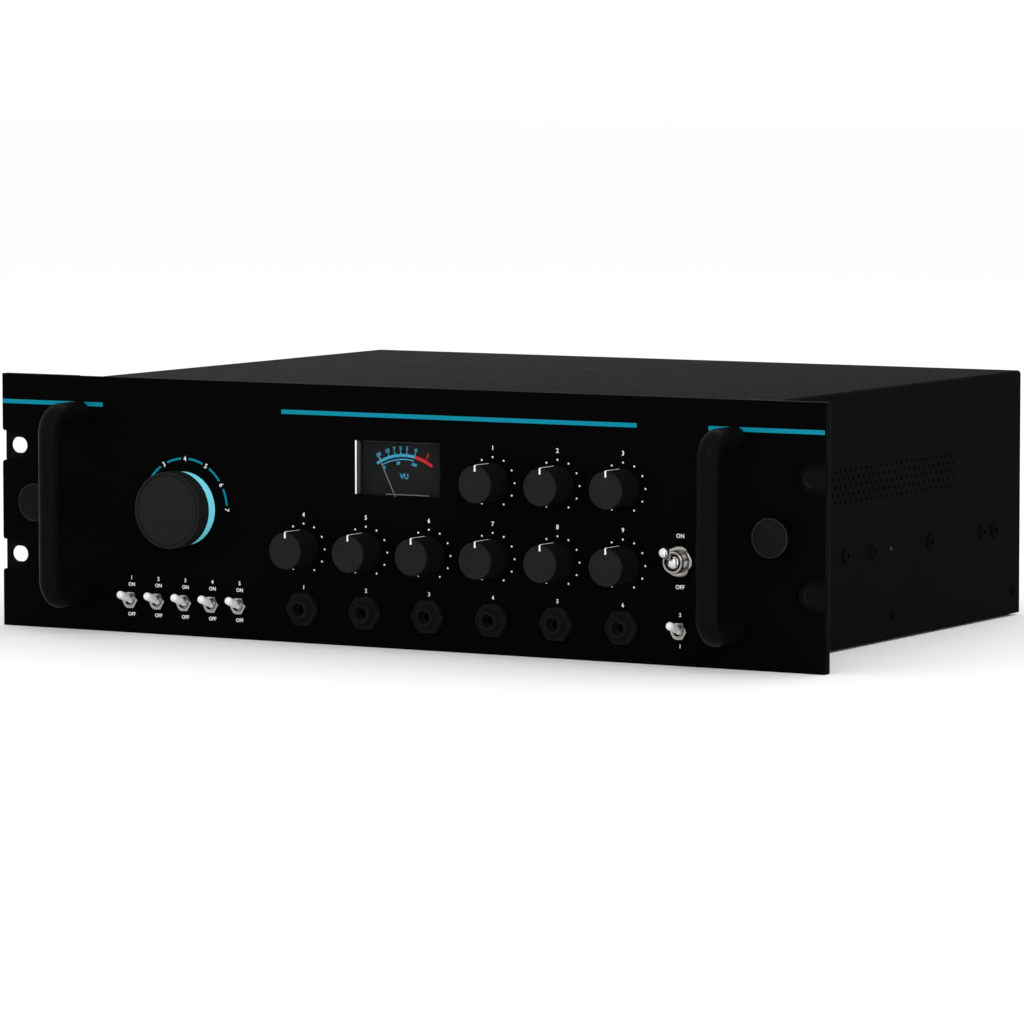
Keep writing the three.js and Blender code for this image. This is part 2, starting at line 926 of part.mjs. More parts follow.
function makeSlideMiddle(side) {
  const at = (share) => slide.thickness * share;
  const half = slide.middleHeight / 2;
  const under = half - slide.metal;
  const ballTop = slide.height / 2 - slide.metal - seat;
  const ballBottom = slide.innerHeight / 2 + seat;
  const upper = [
    [at(slideShare.webStartShare), under],
    [at(slideShare.middleStartShare), under],
    [at(slideShare.middleStartShare), half],
    [at(slideShare.ballStartShare), half],
    [at(slideShare.ballStartShare), ballTop],
    [at(slideShare.ballEndShare), ballTop],
    [at(slideShare.ballEndShare), half],
    [at(slideShare.middleEndShare), half],
    [at(slideShare.middleEndShare), under],
    [at(slideShare.innerBallEndShare), under],
    [at(slideShare.innerBallEndShare), ballBottom],
    [at(slideShare.innerBallStartShare), ballBottom],
    [at(slideShare.innerBallStartShare), under],
    [at(slideShare.webStartShare) + slide.metal, under],
  ];
  const lower = upper.map(([inward, z]) => [inward, -z]).reverse();
  const outline = [...upper, ...lower].map(([inward, z]) => slidePoint(side, inward, z));
  return facing(shapeWithHoles(outline), slide.front, slide.front + slide.middleLength);
}

function makeSlideInner(side) {
  const start = slide.thickness * slideShare.innerStartShare;
  const web = slide.thickness - slide.metal;
  const half = slide.innerHeight / 2;
  const inside = half - slide.metal;
  return facing(shapeWithHoles([
    slidePoint(side, start, half),
    slidePoint(side, slide.thickness, half),
    slidePoint(side, slide.thickness, -half),
    slidePoint(side, start, -half),
    slidePoint(side, start, -inside),
    slidePoint(side, web, -inside),
    slidePoint(side, web, inside),
    slidePoint(side, start, inside),
  ]), slide.front, slide.front + slide.innerLength);
}

// Drawer
function makeTray() {
  const front = behindPanel;
  const ledgeBottom = ledgeTop - sheet;
  const parts = [
    block([-trayHalf, trayHalf], [front, tray.rear], [trayBottom, trayFloorTop]),
    block([-trayHalf, trayHalf], [tray.rear - sheet, tray.rear], [trayBottom, trayBottom + tray.rearHeight]),
  ];
  for (const side of [-1, 1]) {
    const wall = [side * trayInner, side * trayHalf].sort((a, b) => a - b);
    const flange = [side * trayInner, side * (trayHalf + tray.flangeReach)].sort((a, b) => a - b);
    const ledge = [side * (trayInner - tray.ledgeReach), side * trayHalf].sort((a, b) => a - b);
    parts.push(block(wall, [front, tray.rear], [trayBottom, trayTop]));
    parts.push(block(flange, [front, front + sheet], [trayBottom + tray.flangeBottom, trayTop]));
    parts.push(block(ledge, [deck.front, tray.rear], [ledgeBottom, ledgeTop]));
  }
  return joined(parts);
}

function makeLock() {
  const back = frontOfPanel;
  const front = -lock.height;
  return turned([
    [0, front],
    [lock.radius - lock.edge, front],
    [lock.radius, front + lock.edge],
    [lock.radius, back],
    [lock.studRadius, back],
    [lock.studRadius, lock.studLength - lock.edge],
    [lock.studRadius - lock.edge, lock.studLength],
    [0, lock.studLength],
  ], lock.sides);
}

// Rings of a fluted grip: odd points lie on the ridges, even ones in the flutes
function flutedRing(radius, depth, y) {
  const points = [];
  const count = knob.fluteCount * 2;
  for (let i = 0; i < count; i += 1) {
    const angle = (fullTurn * i) / count;
    const r = i % 2 === 0 ? radius : radius - depth;
    points.push(new THREE.Vector3(r * Math.sin(angle), y, r * Math.cos(angle)));
  }
  return points;
}

function loft(rings) {
  const count = rings[0].length;
  const first = new THREE.Vector3(0, rings[0][0].y, 0);
  const last = new THREE.Vector3(0, rings[rings.length - 1][0].y, 0);
  const places = [...rings.flat(), first, last];
  const triangles = [];
  for (let ring = 0; ring < rings.length - 1; ring += 1) {
    for (let i = 0; i < count; i += 1) {
      const next = (i + 1) % count;
      const [a, b] = [ring * count + i, ring * count + next];
      triangles.push(a, b, b + count, a, b + count, a + count);
    }
  }
  const end = (rings.length - 1) * count;
  for (let i = 0; i < count; i += 1) {
    const next = (i + 1) % count;
    triangles.push(places.length - 2, next, i);
    triangles.push(places.length - 1, end + i, end + next);
  }
  const geometry = new THREE.BufferGeometry().setFromPoints(places);
  geometry.setIndex(triangles);
  return geometry;
}

function makeKnob() {
  const back = -knob.clear;
  const skirtFront = back - knob.skirtHeight;
  const grip = solid(loft([
    flutedRing(knob.faceRadius - knob.edge, 0, knob.faceY),
    flutedRing(knob.faceRadius, knob.fluteDepth, knob.faceY + knob.edge),
    flutedRing(knob.neckRadius, knob.fluteDepth, skirtFront),
    flutedRing(knob.skirtRadius, 0, skirtFront),
    flutedRing(knob.skirtRadius, 0, back),
  ]));
  const recess = rodAlongY(0, 0, knob.recessRadius, back - knob.recessDepth, back + overrun, pot.boreSides);
  const shaftFront = back - knob.recessDepth - overrun;
  const shaft = rodAlongY(0, 0, knob.shaftRadius, shaftFront, knob.shaftEnd, pot.boreSides);
  return grip.subtract(recess).add(shaft);
}

function makeControlBoard() {
  const canBack = behindPanel + pot.depth;
  const boardBack = canBack + board.thickness;
  const places = knobPlaces();
  const xs = places.map((place) => place.x);
  const right = Math.max(...xs) + board.margin;
  const lower = block(
    [Math.min(...xs) - board.margin, right],
    [canBack, boardBack],
    [lowerRow - board.margin, lowerRow + board.margin],
  );
  const upperLeft = knobFirst + knob.upperFirst * knobPitch - board.margin;
  const upperTop = upperRow + board.margin;
  const upper = block([upperLeft, right], [canBack, boardBack], [lowerRow, upperTop]);
  const solids = [lower, upper];
  const bores = [];
  for (const { x, z } of places) {
    solids.push(rodAlongY(x, z, pot.radius, behindPanel, canBack + board.thickness / 2, pot.sides));
    solids.push(rodAlongY(x, z, pot.bushingRadius, -pot.bushingReach, behindPanel + overrun, pot.boreSides));
    bores.push(rodAlongY(x, z, pot.bore, -pot.bushingReach - overrun, knob.shaftEnd + seat, pot.boreSides));
  }
  return cut(joined(solids), bores);
}

function makeModeKnob() {
  const front = modeKnob.faceY;
  const inside = modeKnob.radius - modeKnob.rimWidth;
  return turned([
    [0, front + modeKnob.rimDepth],
    [inside - modeKnob.rimDepth, front + modeKnob.rimDepth],
    [inside, front],
    [modeKnob.radius - modeKnob.edge, front],
    [modeKnob.radius, front + modeKnob.edge],
    [modeKnob.radius, modeKnob.capBack],
    [modeKnob.hubRadius, modeKnob.capBack],
    [modeKnob.hubRadius, -modeSwitch.bushingReach - seat],
    [modeKnob.shaftRadius, -modeSwitch.bushingReach - seat],
    [modeKnob.shaftRadius, modeKnob.shaftEnd],
    [0, modeKnob.shaftEnd],
  ], modeKnob.sides);
}

function makeModeKnobRing() {
  const front = modeKnob.capBack + seat;
  const back = -modeKnob.ringClear;
  const inner = modeKnob.hubRadius + seat;
  return turned([
    [inner, front],
    [modeKnob.ringRadius, front],
    [modeKnob.ringRadius, back],
    [modeKnob.ringInner, back],
    [modeKnob.ringInner, front + sheet],
    [inner, front + sheet],
    [inner, front],
  ], modeKnob.sides);
}

function makeModeSwitch() {
  const { x, z } = modePlace;
  const solids = [
    rodAlongY(x, z, modeSwitch.bushingRadius, -modeSwitch.bushingReach, behindPanel + overrun, jack.sides),
    rodAlongY(x, z, modeSwitch.coreRadius, behindPanel, behindPanel + modeSwitch.depth, jack.sides),
  ];
  for (let i = 0; i < modeSwitch.decks; i += 1) {
    const front = behindPanel + ((modeSwitch.depth - modeSwitch.deckThickness) * i) / (modeSwitch.decks - 1);
    solids.push(rodAlongY(x, z, modeSwitch.radius, front, front + modeSwitch.deckThickness, pot.sides));
  }
  const bore = rodAlongY(
    x,
    z,
    modeKnob.shaftRadius + seat,
    -modeSwitch.bushingReach - overrun,
    modeKnob.shaftEnd + seat,
    pot.sides,
  );
  return joined(solids).subtract(bore);
}

// Toggle switches: bushing and nut in front, body behind
function toggleSolids(x, z, size) {
  const nutFront = frontOfPanel - size.nutThickness;
  const halfWidth = size.bodyWidth / 2;
  const halfHeight = size.bodyHeight / 2;
  const solids = [
    rodAlongY(x, z, hexRadius(size.nutAcross), nutFront, frontOfPanel, hexSides),
    rodAlongY(x, z, size.bushingRadius, -size.bushingReach, behindPanel + overrun, jack.sides),
    block(
      [x - halfWidth, x + halfWidth],
      [behindPanel, behindPanel + size.bodyDepth],
      [z - halfHeight, z + halfHeight],
    ),
  ];
  const bore = rodAlongY(
    x,
    z,
    size.boreRadius,
    -size.bushingReach - overrun,
    size.pivotDepth + size.ballRadius + seat - size.bushingReach,
    jack.boreSides,
  );
  return joined(solids).subtract(bore);
}

function makeSwitchBoard() {
  const xs = togglePlaces();
  const front = behindPanel + toggle.bodyDepth;
  const plate = block(
    [xs[0] - board.margin, xs[xs.length - 1] + board.margin],
    [front - seat, front + board.thickness],
    [toggle.z - toggle.bodyHeight / 2, toggle.z + toggle.bodyHeight / 2],
  );
  return joined([plate, ...xs.map((x) => toggleSolids(x, toggle.z, toggle))]);
}

function makeLever(size) {
  const neckAngle = Math.PI - Math.asin(size.neckRadius / size.ballRadius);
  const tipStart = size.ballTip ? -Math.acos(size.neckRadius / size.tipRadius) : 0;
  const tipCentre = size.tipRadius - size.leverLength;
  const profile = [];
  for (let i = 0; i <= lever.ballSteps; i += 1) {
    const angle = (neckAngle * i) / lever.ballSteps;
    profile.push([size.ballRadius * Math.sin(angle), size.ballRadius * Math.cos(angle)]);
  }
  for (let i = 0; i <= lever.tipSteps; i += 1) {
    const angle = tipStart + ((Math.PI / 2 - tipStart) * i) / lever.tipSteps;
    profile.push([size.tipRadius * Math.cos(angle), tipCentre - size.tipRadius * Math.sin(angle)]);
  }
  return turned(profile, lever.sides);
}

function placeLever(name, shape, x, z, size, material) {
  const stick = piece(name, shape, material);
  stick.position.set(x, size.pivotDepth - size.bushingReach, z);
  stick.rotation.x = -size.tilt * degree;
}

function makeJackBoard() {
  const nutBack = frontOfPanel;
  const nutRadius = hexRadius(jack.nutAcross);
  const bushingBack = behindPanel + overrun;
  const bodyBack = behindPanel + jack.bodyDepth;
  const xs = jackPlaces();
  const solids = [block(
    [xs[0] - board.margin, xs[xs.length - 1] + board.margin],
    [bodyBack - seat, bodyBack + board.thickness],
    [jack.z - jack.bodyHeight / 2, jack.z + jack.bodyHeight / 2],
  )];
  const bores = [];
  for (const x of xs) {
    solids.push(rodAlongY(x, jack.z, nutRadius, nutBack - jack.nutThickness, nutBack, hexSides));
    solids.push(rodAlongY(x, jack.z, jack.bushingRadius, -jack.bushingReach, bushingBack, jack.sides));
    solids.push(block(
      [x - jack.bodyWidth / 2, x + jack.bodyWidth / 2],
      [behindPanel, bodyBack],
      [jack.z - jack.bodyHeight / 2, jack.z + jack.bodyHeight / 2],
    ));
    bores.push(rodAlongY(
      x,
      jack.z,
      jack.boreRadius,
      -jack.bushingReach - overrun,
      jack.boreDepth - jack.bushingReach,
      jack.boreSides,
    ));
  }
  return cut(joined(solids), bores);
}

// Level meter
function makeMeterCase() {
  const [left, right] = meterAcross;
  const top = meterUp[1];
  const body = block(
    [left - meter.caseSide, right + meter.caseSide],
    [behindPanel, behindPanel + meter.caseDepth],
    [meterCaseBottom, top + meter.caseSide],
  );
  const pocket = block(
    [left - meter.pocketTop, right + meter.pocketTop],
    [behindPanel - overrun, meterDial],
    [pocketBottom, top + meter.pocketTop],
  );
  return body.subtract(pocket);
}

function makeMeterCover() {
  const [left, right] = [meterAcross[0] + seat, meterAcross[1] - seat];
  const [bottom, top] = [meterUp[0] + seat, meterUp[1] - seat];
  const wall = meter.coverWall;
  const shell = block([left, right], [0, meter.coverDepth], [bottom, top]);
  const hollow = block(
    [left + wall, right - wall],
    [wall, meter.coverDepth + overrun],
    [bottom + wall, top - wall],
  );
  const under = block(
    [left - overrun, right + overrun],
    [meter.bottomWallDepth, meter.coverDepth + overrun],
    [bottom - overrun, bottom + wall + overrun],
  );
  return cut(shell, [hollow, under]);
}

function makeNeedle() {
  const half = meter.needleWidth / 2;
  const bar = block(
    [-half, half],
    [-meter.hubThickness, meter.needleThickness - meter.hubThickness],
    [0, needleLength],
  );
  return bar.add(rodAlongY(0, 0, meter.hubRadius, -meter.hubThickness, 0, jack.boreSides));
}

// Tape deck
function chamberWalls() {
  const [left, right] = chamberAcross;
  const outer = block(
    chamberAcross,
    [deck.chamberFront, deck.chamberRear],
    [deckTop - sheet, deckTop + deck.wallHeight],
  );
  const inner = block(
    [left + deck.wall, right - deck.wall],
    [deck.chamberFront + deck.wall, deck.chamberRear - deck.wall],
    [deckTop, deckTop + deck.wallHeight + overrun],
  );
  const slotMiddle = tape.runY + 2 * tape.turn;
  const slots = block(
    [left - overrun, right + overrun],
    [slotMiddle - deck.slotWidth / 2, slotMiddle + deck.slotWidth / 2],
    [deckTop + deck.thickness, deckTop + deck.wallHeight + overrun],
  );
  return cut(outer, [inner, slots]);
}

function makeDeckPlate() {
  const half = trayInner - seat;
  const plate = solid(standing(
    shapeWithHoles(
      rectangle(-half, half, deck.front, deck.rear),
      [ringPoints(capstan.x, capstanY, capstan.bore, capstan.shaftSides)],
    ),
    deckBottom,
    deckTop,
  ));
  const bearing = solid(standing(
    shapeWithHoles(
      ringPoints(capstan.x, capstanY, capstan.bearingRadius, capstan.shaftSides),
      [ringPoints(capstan.x, capstanY, capstan.bore, capstan.shaftSides)],
    ),
    deckBottom - capstan.bearingHeight,
    deckBottom + deck.thickness / 2,
  ));
  const pivotTop = deckTop + arm.postHeight;
  const pivot = post(arm.pivotX, arm.pivotY, arm.postRadius, deckTop - sheet, pivotTop, guide.sides);
  return joined([plate, bearing, pivot, chamberWalls()]);
}

function makeChamberCover() {
  const bottom = deckTop + deck.wallHeight + seat;
  const top = bottom + deck.coverThickness;
  const plate = block(chamberAcross, [deck.chamberFront, deck.chamberRear], [bottom, top]);
  const nuts = [];
  for (const x of [chamberAcross[0] + 2 * deck.wall, chamberAcross[1] - 2 * deck.wall]) {
    const middle = (deck.chamberFront + deck.chamberRear) / 2;
    const inset = x < 0 ? deck.coverBossRadius : -deck.coverBossRadius;
    const nutTop = top + deck.coverBossRadius;
    nuts.push(post(x + inset, middle, deck.coverBossRadius, bottom + seat, nutTop, guide.sides));
  }
  return joined([plate, ...nuts]);
}

function tapePath() {
  const [left, right] = [chamberAcross[0] - tape.wallClear, chamberAcross[1] + tape.wallClear];
  const points = [new THREE.Vector2(left, tape.runY), new THREE.Vector2(right, tape.runY)];
  const turnY = tape.runY + tape.turn;
  for (let i = 1; i <= tape.turnSteps; i += 1) {
    const angle = -Math.PI / 2 + (Math.PI * i) / tape.turnSteps;
    points.push(new THREE.Vector2(
      right + tape.turn * Math.cos(angle),
      turnY + tape.turn * Math.sin(angle),
    ));
  }
  const steps = tape.folds * tape.stepsPerFold;
  const foldRight = chamberAcross[1] - deck.wall - tape.foldInset;
  const foldLeft = chamberAcross[0] + deck.wall + tape.foldInset;
  for (let i = 0; i <= steps; i += 1) {
    const share = i / steps;
    points.push(new THREE.Vector2(
      foldRight + (foldLeft - foldRight) * share,
      tape.runY + 2 * tape.turn + tape.foldDepth * (1 - Math.cos(fullTurn * tape.folds * share)) / 2,
    ));
  }
  for (let i = 0; i < tape.turnSteps; i += 1) {
    const angle = Math.PI / 2 + (Math.PI * i) / tape.turnSteps;
    points.push(new THREE.Vector2(
      left + tape.turn * Math.cos(angle),
      turnY + tape.turn * Math.sin(angle),
    ));
  }
  return points;
}

// The path moved sideways by a distance, mitred at each corner
function offsetLoop(points, distance) {
  return points.map((point, i) => {
    const before = points[(i + points.length - 1) % points.length];
    const after = points[(i + 1) % points.length];
    const one = point.clone().sub(before).normalize();
    const two = after.clone().sub(point).normalize();
    const normal = new THREE.Vector2(one.y + two.y, -one.x - two.x).normalize();
    const mitre = distance / Math.max(normal.dot(new THREE.Vector2(one.y, -one.x)), tape.mitreLimitShare);
    return point.clone().addScaledVector(normal, mitre);
  });
}

function makeTapeLoop() {
  const path = tapePath();
  const outer = offsetLoop(path, tape.thickness / 2);
  const inner = offsetLoop(path, -tape.thickness / 2);
  return standing(shapeWithHoles(outer, [inner]), tapeBottom, tapeTop);
}

function headOutline(x) {
  const front = tape.runY + tape.thickness / 2 + head.gapClear;
  const back = front + head.depth;
  const half = head.width / 2;
  const points = [new THREE.Vector2(x + half, back), new THREE.Vector2(x - half, back)];
  for (let i = 0; i <= head.faceSteps; i += 1) {
    const share = (2 * i) / head.faceSteps - 1;
    points.push(new THREE.Vector2(x + share * half, front + head.faceBulge * share * share));
  }
  return points;
}

function headSolid(x, bottom) {
  return solid(standing(shapeWithHoles(headOutline(x)), bottom, bridgeTop + seat + head.height));
}

function guideSolids(x) {
  const y = tape.runY + tape.thickness / 2 + seat + guide.radius;
  const lower = tapeBottom - seat;
  const upper = tapeTop + seat;
  return [
    post(x, y, guide.radius, bridgeTop - seat, upper + guide.flangeThickness, guide.sides),
    post(x, y, guide.flangeRadius, lower - guide.flangeThickness, lower, guide.sides),
    post(x, y, guide.flangeRadius, upper, upper + guide.flangeThickness, guide.sides),
  ];
}

function alongBridge(share) {
  return bridgeAcross[0] + (bridgeAcross[1] - bridgeAcross[0]) * share;
}

function makeHeadBlock() {
  const front = tape.runY + tape.thickness / 2 + seat;
  const base = block(bridgeAcross, [front, front + bridge.depth], [bridgeBottom, bridgeTop]);
  const solids = [base];
  for (let i = 0; i < headPlaces.playCount; i += 1) {
    solids.push(headSolid(alongBridge(headPlaces.playShare + i * headPlaces.pitchShare), bridgeTop - seat));
  }
  return joined([
    ...solids,
    ...guideSolids(bridgeAcross[0] + guide.inset),
    ...guideSolids(bridgeAcross[1] - guide.inset),
  ]);
}

function makeCapstan() {
  const groove = capstan.grooveWidth / 2;
  const rimInner = capstan.flywheelRadius - capstan.rim;
  const dished = flywheelTop - capstan.dish;
  const hubTop = flywheelTop + capstan.hubHeight;
  const shape = turned([
    [0, flywheelBottom],
    [capstan.flywheelRadius, flywheelBottom],
    [capstan.flywheelRadius, grooveMiddle - groove],
    [capstan.grooveRadius, grooveMiddle - groove],
    [capstan.grooveRadius, grooveMiddle + groove],
    [capstan.flywheelRadius, grooveMiddle + groove],
    [capstan.flywheelRadius, flywheelTop],
    [rimInner, flywheelTop],
    [rimInner, dished],
    [capstan.hubRadius, dished],
    [capstan.hubRadius, hubTop],
    [capstan.radius, hubTop],
    [capstan.radius, deckTop + capstan.top],
    [0, deckTop + capstan.top],
  ], capstan.sides);
  return shape.rotateX(Math.PI / 2);
}

function armOutline() {
  const from = new THREE.Vector2(arm.pivotX, arm.pivotY);
  const to = new THREE.Vector2(capstan.x, rollerY);
  const along = to.clone().sub(from).normalize();
  const heading = Math.atan2(along.y, along.x);
  const points = [];
  for (const [centre, turn] of [[to, heading], [from, heading + Math.PI]]) {
    for (let i = 0; i <= arm.steps; i += 1) {
      const angle = turn - Math.PI / 2 + (Math.PI * i) / arm.steps;
      points.push(new THREE.Vector2(
        centre.x + arm.endRadius * Math.cos(angle),
        centre.y + arm.endRadius * Math.sin(angle),
      ));
    }
  }
  return points;
}

function makePinchArm() {
  const bottom = deckTop + seat;
  const top = bottom + arm.thickness;
  const bore = ringPoints(arm.pivotX, arm.pivotY, arm.bore, guide.sides);
  const plate = solid(standing(shapeWithHoles(armOutline(), [bore]), bottom, top));
  const sleeve = solid(standing(
    shapeWithHoles(ringPoints(arm.pivotX, arm.pivotY, arm.pivotRadius, guide.sides), [bore]),
    top - seat,
    deckTop + arm.postHeight - overrun,
  ));
  const pinTop = rollerBottom() + roller.height + overrun;
  const pin = post(capstan.x, rollerY, roller.pin, top - seat, pinTop, roller.boreSides);
  return joined([plate, sleeve, pin]);
}

function rollerBottom() {
  return Math.max(deckTop + 2 * seat + arm.thickness, tapeBottom - (roller.height - tape.width) / 2);
}

function makePinchRoller() {
  const bottom = rollerBottom();
  return standing(
    shapeWithHoles(
      ringPoints(0, 0, roller.radius, roller.sides),
      [ringPoints(0, 0, roller.bore, roller.boreSides)],
    ),
    bottom,
    bottom + roller.height,
  );
}

function makeMotor() {
  const base = trayFloorTop + seat;
  const plate = block(
    [motorX - motor.baseHalf, motorX + motor.baseHalf],
    [motor.y - motor.baseHalf, motor.y + motor.baseHalf],
    [base, base + motor.baseThickness],
  );
  const can = turned([
    [0, base + seat],
    [motor.radius, base + seat],
    [motor.radius, motorTop - motor.edge],
    [motor.radius - motor.edge, motorTop],
    [0, motorTop],
  ], motor.sides).rotateX(Math.PI / 2).translate(motorX, motor.y, 0);
  const boreBottom = motorTop - motor.boreDepth;
  const bore = post(motorX, motor.y, motor.bore, boreBottom, motorTop + overrun, guide.sides);
  return plate.add(solid(can)).subtract(bore);
}

function makeMotorPulley() {
  const groove = capstan.grooveWidth / 2;
  const half = capstan.flywheelThickness / 2;
  return turned([
    [0, motorTop - motor.shaftLength],
    [motor.shaft, motorTop - motor.shaftLength],
    [motor.shaft, grooveMiddle - half],
    [pulley.radius, grooveMiddle - half],
    [pulley.radius, grooveMiddle - groove],
    [pulley.groove, grooveMiddle - groove],
    [pulley.groove, grooveMiddle + groove],
    [pulley.radius, grooveMiddle + groove],
    [pulley.radius, grooveMiddle + half],
    [0, grooveMiddle + half],
  ], pulley.sides).rotateX(Math.PI / 2);
}

// Outline of a belt round two wheels, at one distance from both
function beltOutline(away) {
  const from = new THREE.Vector2(capstan.x, capstanY);
  const to = new THREE.Vector2(motorX, motor.y);
  const span = to.clone().sub(from);
  const heading = Math.atan2(span.y, span.x);
  const spread = Math.acos((capstan.grooveRadius - pulley.groove) / span.length());
  const points = [];
  const arcs = [
    [from, capstan.grooveRadius + away, heading + spread, heading + fullTurn - spread],
    [to, pulley.groove + away, heading - spread, heading + spread],
  ];
  for (const [centre, radius, start, end] of arcs) {
    const outside = radius / Math.cos((end - start) / belt.arcSteps / 2);
    for (let i = 0; i <= belt.arcSteps; i += 1) {
      const angle = start + ((end - start) * i) / belt.arcSteps;
      points.push(new THREE.Vector2(
        centre.x + outside * Math.cos(angle),
        centre.y + outside * Math.sin(angle),
      ));
    }
  }
  return points;
}

function makeBelt() {
  const half = belt.height / 2;
  const shape = shapeWithHoles(beltOutline(seat + belt.thickness), [beltOutline(seat)]);
  return standing(shape, grooveMiddle - half, grooveMiddle + half);
}

// Electronics
function makeTransformer() {
  const bottom = trayFloorTop + seat;
  const top = bottom + toroid.height;
  const profile = [];
  const corners = [
    [toroid.radius - toroid.edge, bottom + toroid.edge, -Math.PI / 2],
    [toroid.radius - toroid.edge, top - toroid.edge, 0],
    [toroid.inner + toroid.edge, top - toroid.edge, Math.PI / 2],
    [toroid.inner + toroid.edge, bottom + toroid.edge, Math.PI],
  ];
  for (const [r, z, start] of corners) {
    for (let i = 0; i <= toroid.edgeSteps; i += 1) {
      const angle = start + ((i / toroid.edgeSteps) * Math.PI) / 2;
      profile.push([r + toroid.edge * Math.cos(angle), z + toroid.edge * Math.sin(angle)]);
    }
  }
  profile.push(profile[0]);
  const ring = solid(turned(profile, toroid.sides).rotateX(Math.PI / 2).translate(toroidX, toroid.y, 0));
  const capTop = top + toroidCap.thickness;
  const boltTop = capTop + toroidCap.boltRadius;
  const cap = post(toroidX, toroid.y, toroidCap.radius, top - toroidCap.dish, capTop, toroid.sides);
  const bolt = post(toroidX, toroid.y, toroidCap.boltRadius, bottom, boltTop, hexSides);
  return joined([ring, cap, bolt]);
}

function makeReverbTank() {
  const bottom = trayFloorTop + seat;
  const lip = block(tankAcross, [tank.front, tank.rear], [bottom, bottom + tank.lipThickness]);
  const [left, right] = [tankAcross[0] + tank.lip, tankAcross[1] - tank.lip];
  const [front, rear] = [tank.front + tank.lip, tank.rear - tank.lip];
  const body = block([left, right], [front, rear], [bottom + seat, bottom + tank.height]);
  const beads = [];
  const reach = ((right - left) * tank.beadReachShare) / 2;
  const middle = (left + right) / 2;
  for (let i = 0; i < tank.beadCount; i += 1) {
    const y = front + ((rear - front) * (i + 1)) / (tank.beadCount + 1);
    beads.push(block(
      [middle - reach, middle + reach],
      [y - tank.beadWidth / 2, y + tank.beadWidth / 2],
      [bottom + tank.height - seat, bottom + tank.height + tank.beadHeight],
    ));
  }
  return joined([lip, body, ...beads]);
}

function makeMainBoard() {
  const bottom = trayFloorTop + mainBoard.rise;
  const top = bottom + board.thickness;
  const bite = board.thickness / 2;
  const [left, right] = mainBoardAcross;
  const chipPitch = (right - left) * mainBoard.chipPitchShare;
  const solids = [block(mainBoardAcross, [mainBoard.front, mainBoard.rear], [bottom, top])];
  for (const x of [left + mainBoard.postInset, right - mainBoard.postInset]) {
    for (const y of [mainBoard.front + mainBoard.postInset, mainBoard.rear - mainBoard.postInset]) {
      solids.push(post(x, y, mainBoard.postRadius, trayFloorTop + seat, top - bite / 2, guide.sides));
    }
  }
  for (let i = 0; i < mainBoard.capCount; i += 1) {
    const x = left + mainBoard.capInset + i * mainBoard.capPitch;
    const y = mainBoard.rear - mainBoard.capInset;
    solids.push(post(x, y, mainBoard.capRadius, top - bite, top + mainBoard.capHeight, pot.sides));
  }
  for (let i = 0; i < mainBoard.chipCount; i += 1) {
    const x = left + mainBoard.capInset + i * chipPitch;
    const y = mainBoard.front + mainBoard.chipRow;
    solids.push(block(
      [x, x + mainBoard.chipLength],
      [y, y + mainBoard.chipWidth],
      [top - bite, top + mainBoard.chipHeight],
    ));
  }
  const sinkLeft = right - mainBoard.capInset - mainBoard.sinkLength;
  const sinkRear = mainBoard.rear - mainBoard.postInset;
  const finPitch = (mainBoard.sinkLength - mainBoard.finThickness) / (mainBoard.sinkFins - 1);
  solids.push(block(
    [sinkLeft, sinkLeft + mainBoard.sinkLength],
    [sinkRear - mainBoard.finThickness, sinkRear],
    [top - bite, top + mainBoard.sinkHeight],
  ));
  for (let i = 0; i < mainBoard.sinkFins; i += 1) {
    solids.push(block(
      [sinkLeft + i * finPitch, sinkLeft + i * finPitch + mainBoard.finThickness],
      [sinkRear - mainBoard.sinkDepth, sinkRear - bite],
      [top - bite, top + mainBoard.sinkHeight],
    ));
  }
  return joined(solids);
}

// Case and slides
const sides = [['left', -1], ['right', 1]];
piece('case_cover', makeCaseCover(), finishes.blackCase);
piece('case_floor', makeCaseFloor(), finishes.blackCase);
piece('rear_panel', makeRearPanel(), finishes.blackCase);
piece('mains_inlet', makeMainsInlet(), finishes.darkPlastic);
for (const [word, side] of sides) {
  piece(`ear_bracket_${word}`, makeEar(side), finishes.blackCase);
  piece(`slide_outer_${word}`, makeSlideOuter(side), finishes.steel);
  piece(`slide_middle_${word}`, makeSlideMiddle(side), finishes.steel);
  piece(`slide_inner_${word}`, makeSlideInner(side), finishes.steel);
  const grip = piece(`handle_${word}`, makeHandle(), finishes.blackBar);
  grip.position.set(side * handlePlace, 0, panelMiddle);
  const latch = piece(`lock_${word}`, makeLock(), finishes.blackPlastic);
  latch.position.set(side * lockPlace, 0, panelMiddle);
}

// Drawer and controls
piece('front_panel', makeFrontPanel(), finishes.blackPanel);
piece('drawer_tray', makeTray(), finishes.steel);
piece('control_board', makeControlBoard(), finishes.greenBoard);
for (const { name, x, z } of knobPlaces()) {
  piece(name, makeKnob(), finishes.blackPlastic).position.set(x, 0, z);
}
piece('mode_knob', makeModeKnob(), finishes.blackPlastic).position.set(modePlace.x, 0, modePlace.z);
piece('mode_knob_ring', makeModeKnobRing(), finishes.cyanPlastic).position.set(modePlace.x, 0, modePlace.z);
piece('mode_switch', makeModeSwitch(), finishes.darkPlastic);
piece('switch_board', makeSwitchBoard(), finishes.chrome);
togglePlaces().forEach((x, i) => {
  placeLever(`lever_${i + 1}`, makeLever(toggle), x, toggle.z, toggle, finishes.whiteLever);
});
piece('level_switch', toggleSolids(levelPlace.x, levelPlace.z, toggle), finishes.chrome);
placeLever('lever_level', makeLever(toggle), levelPlace.x, levelPlace.z, toggle, finishes.whiteLever);
piece('power_switch', toggleSolids(powerPlace.x, powerPlace.z, powerToggle), finishes.chrome);
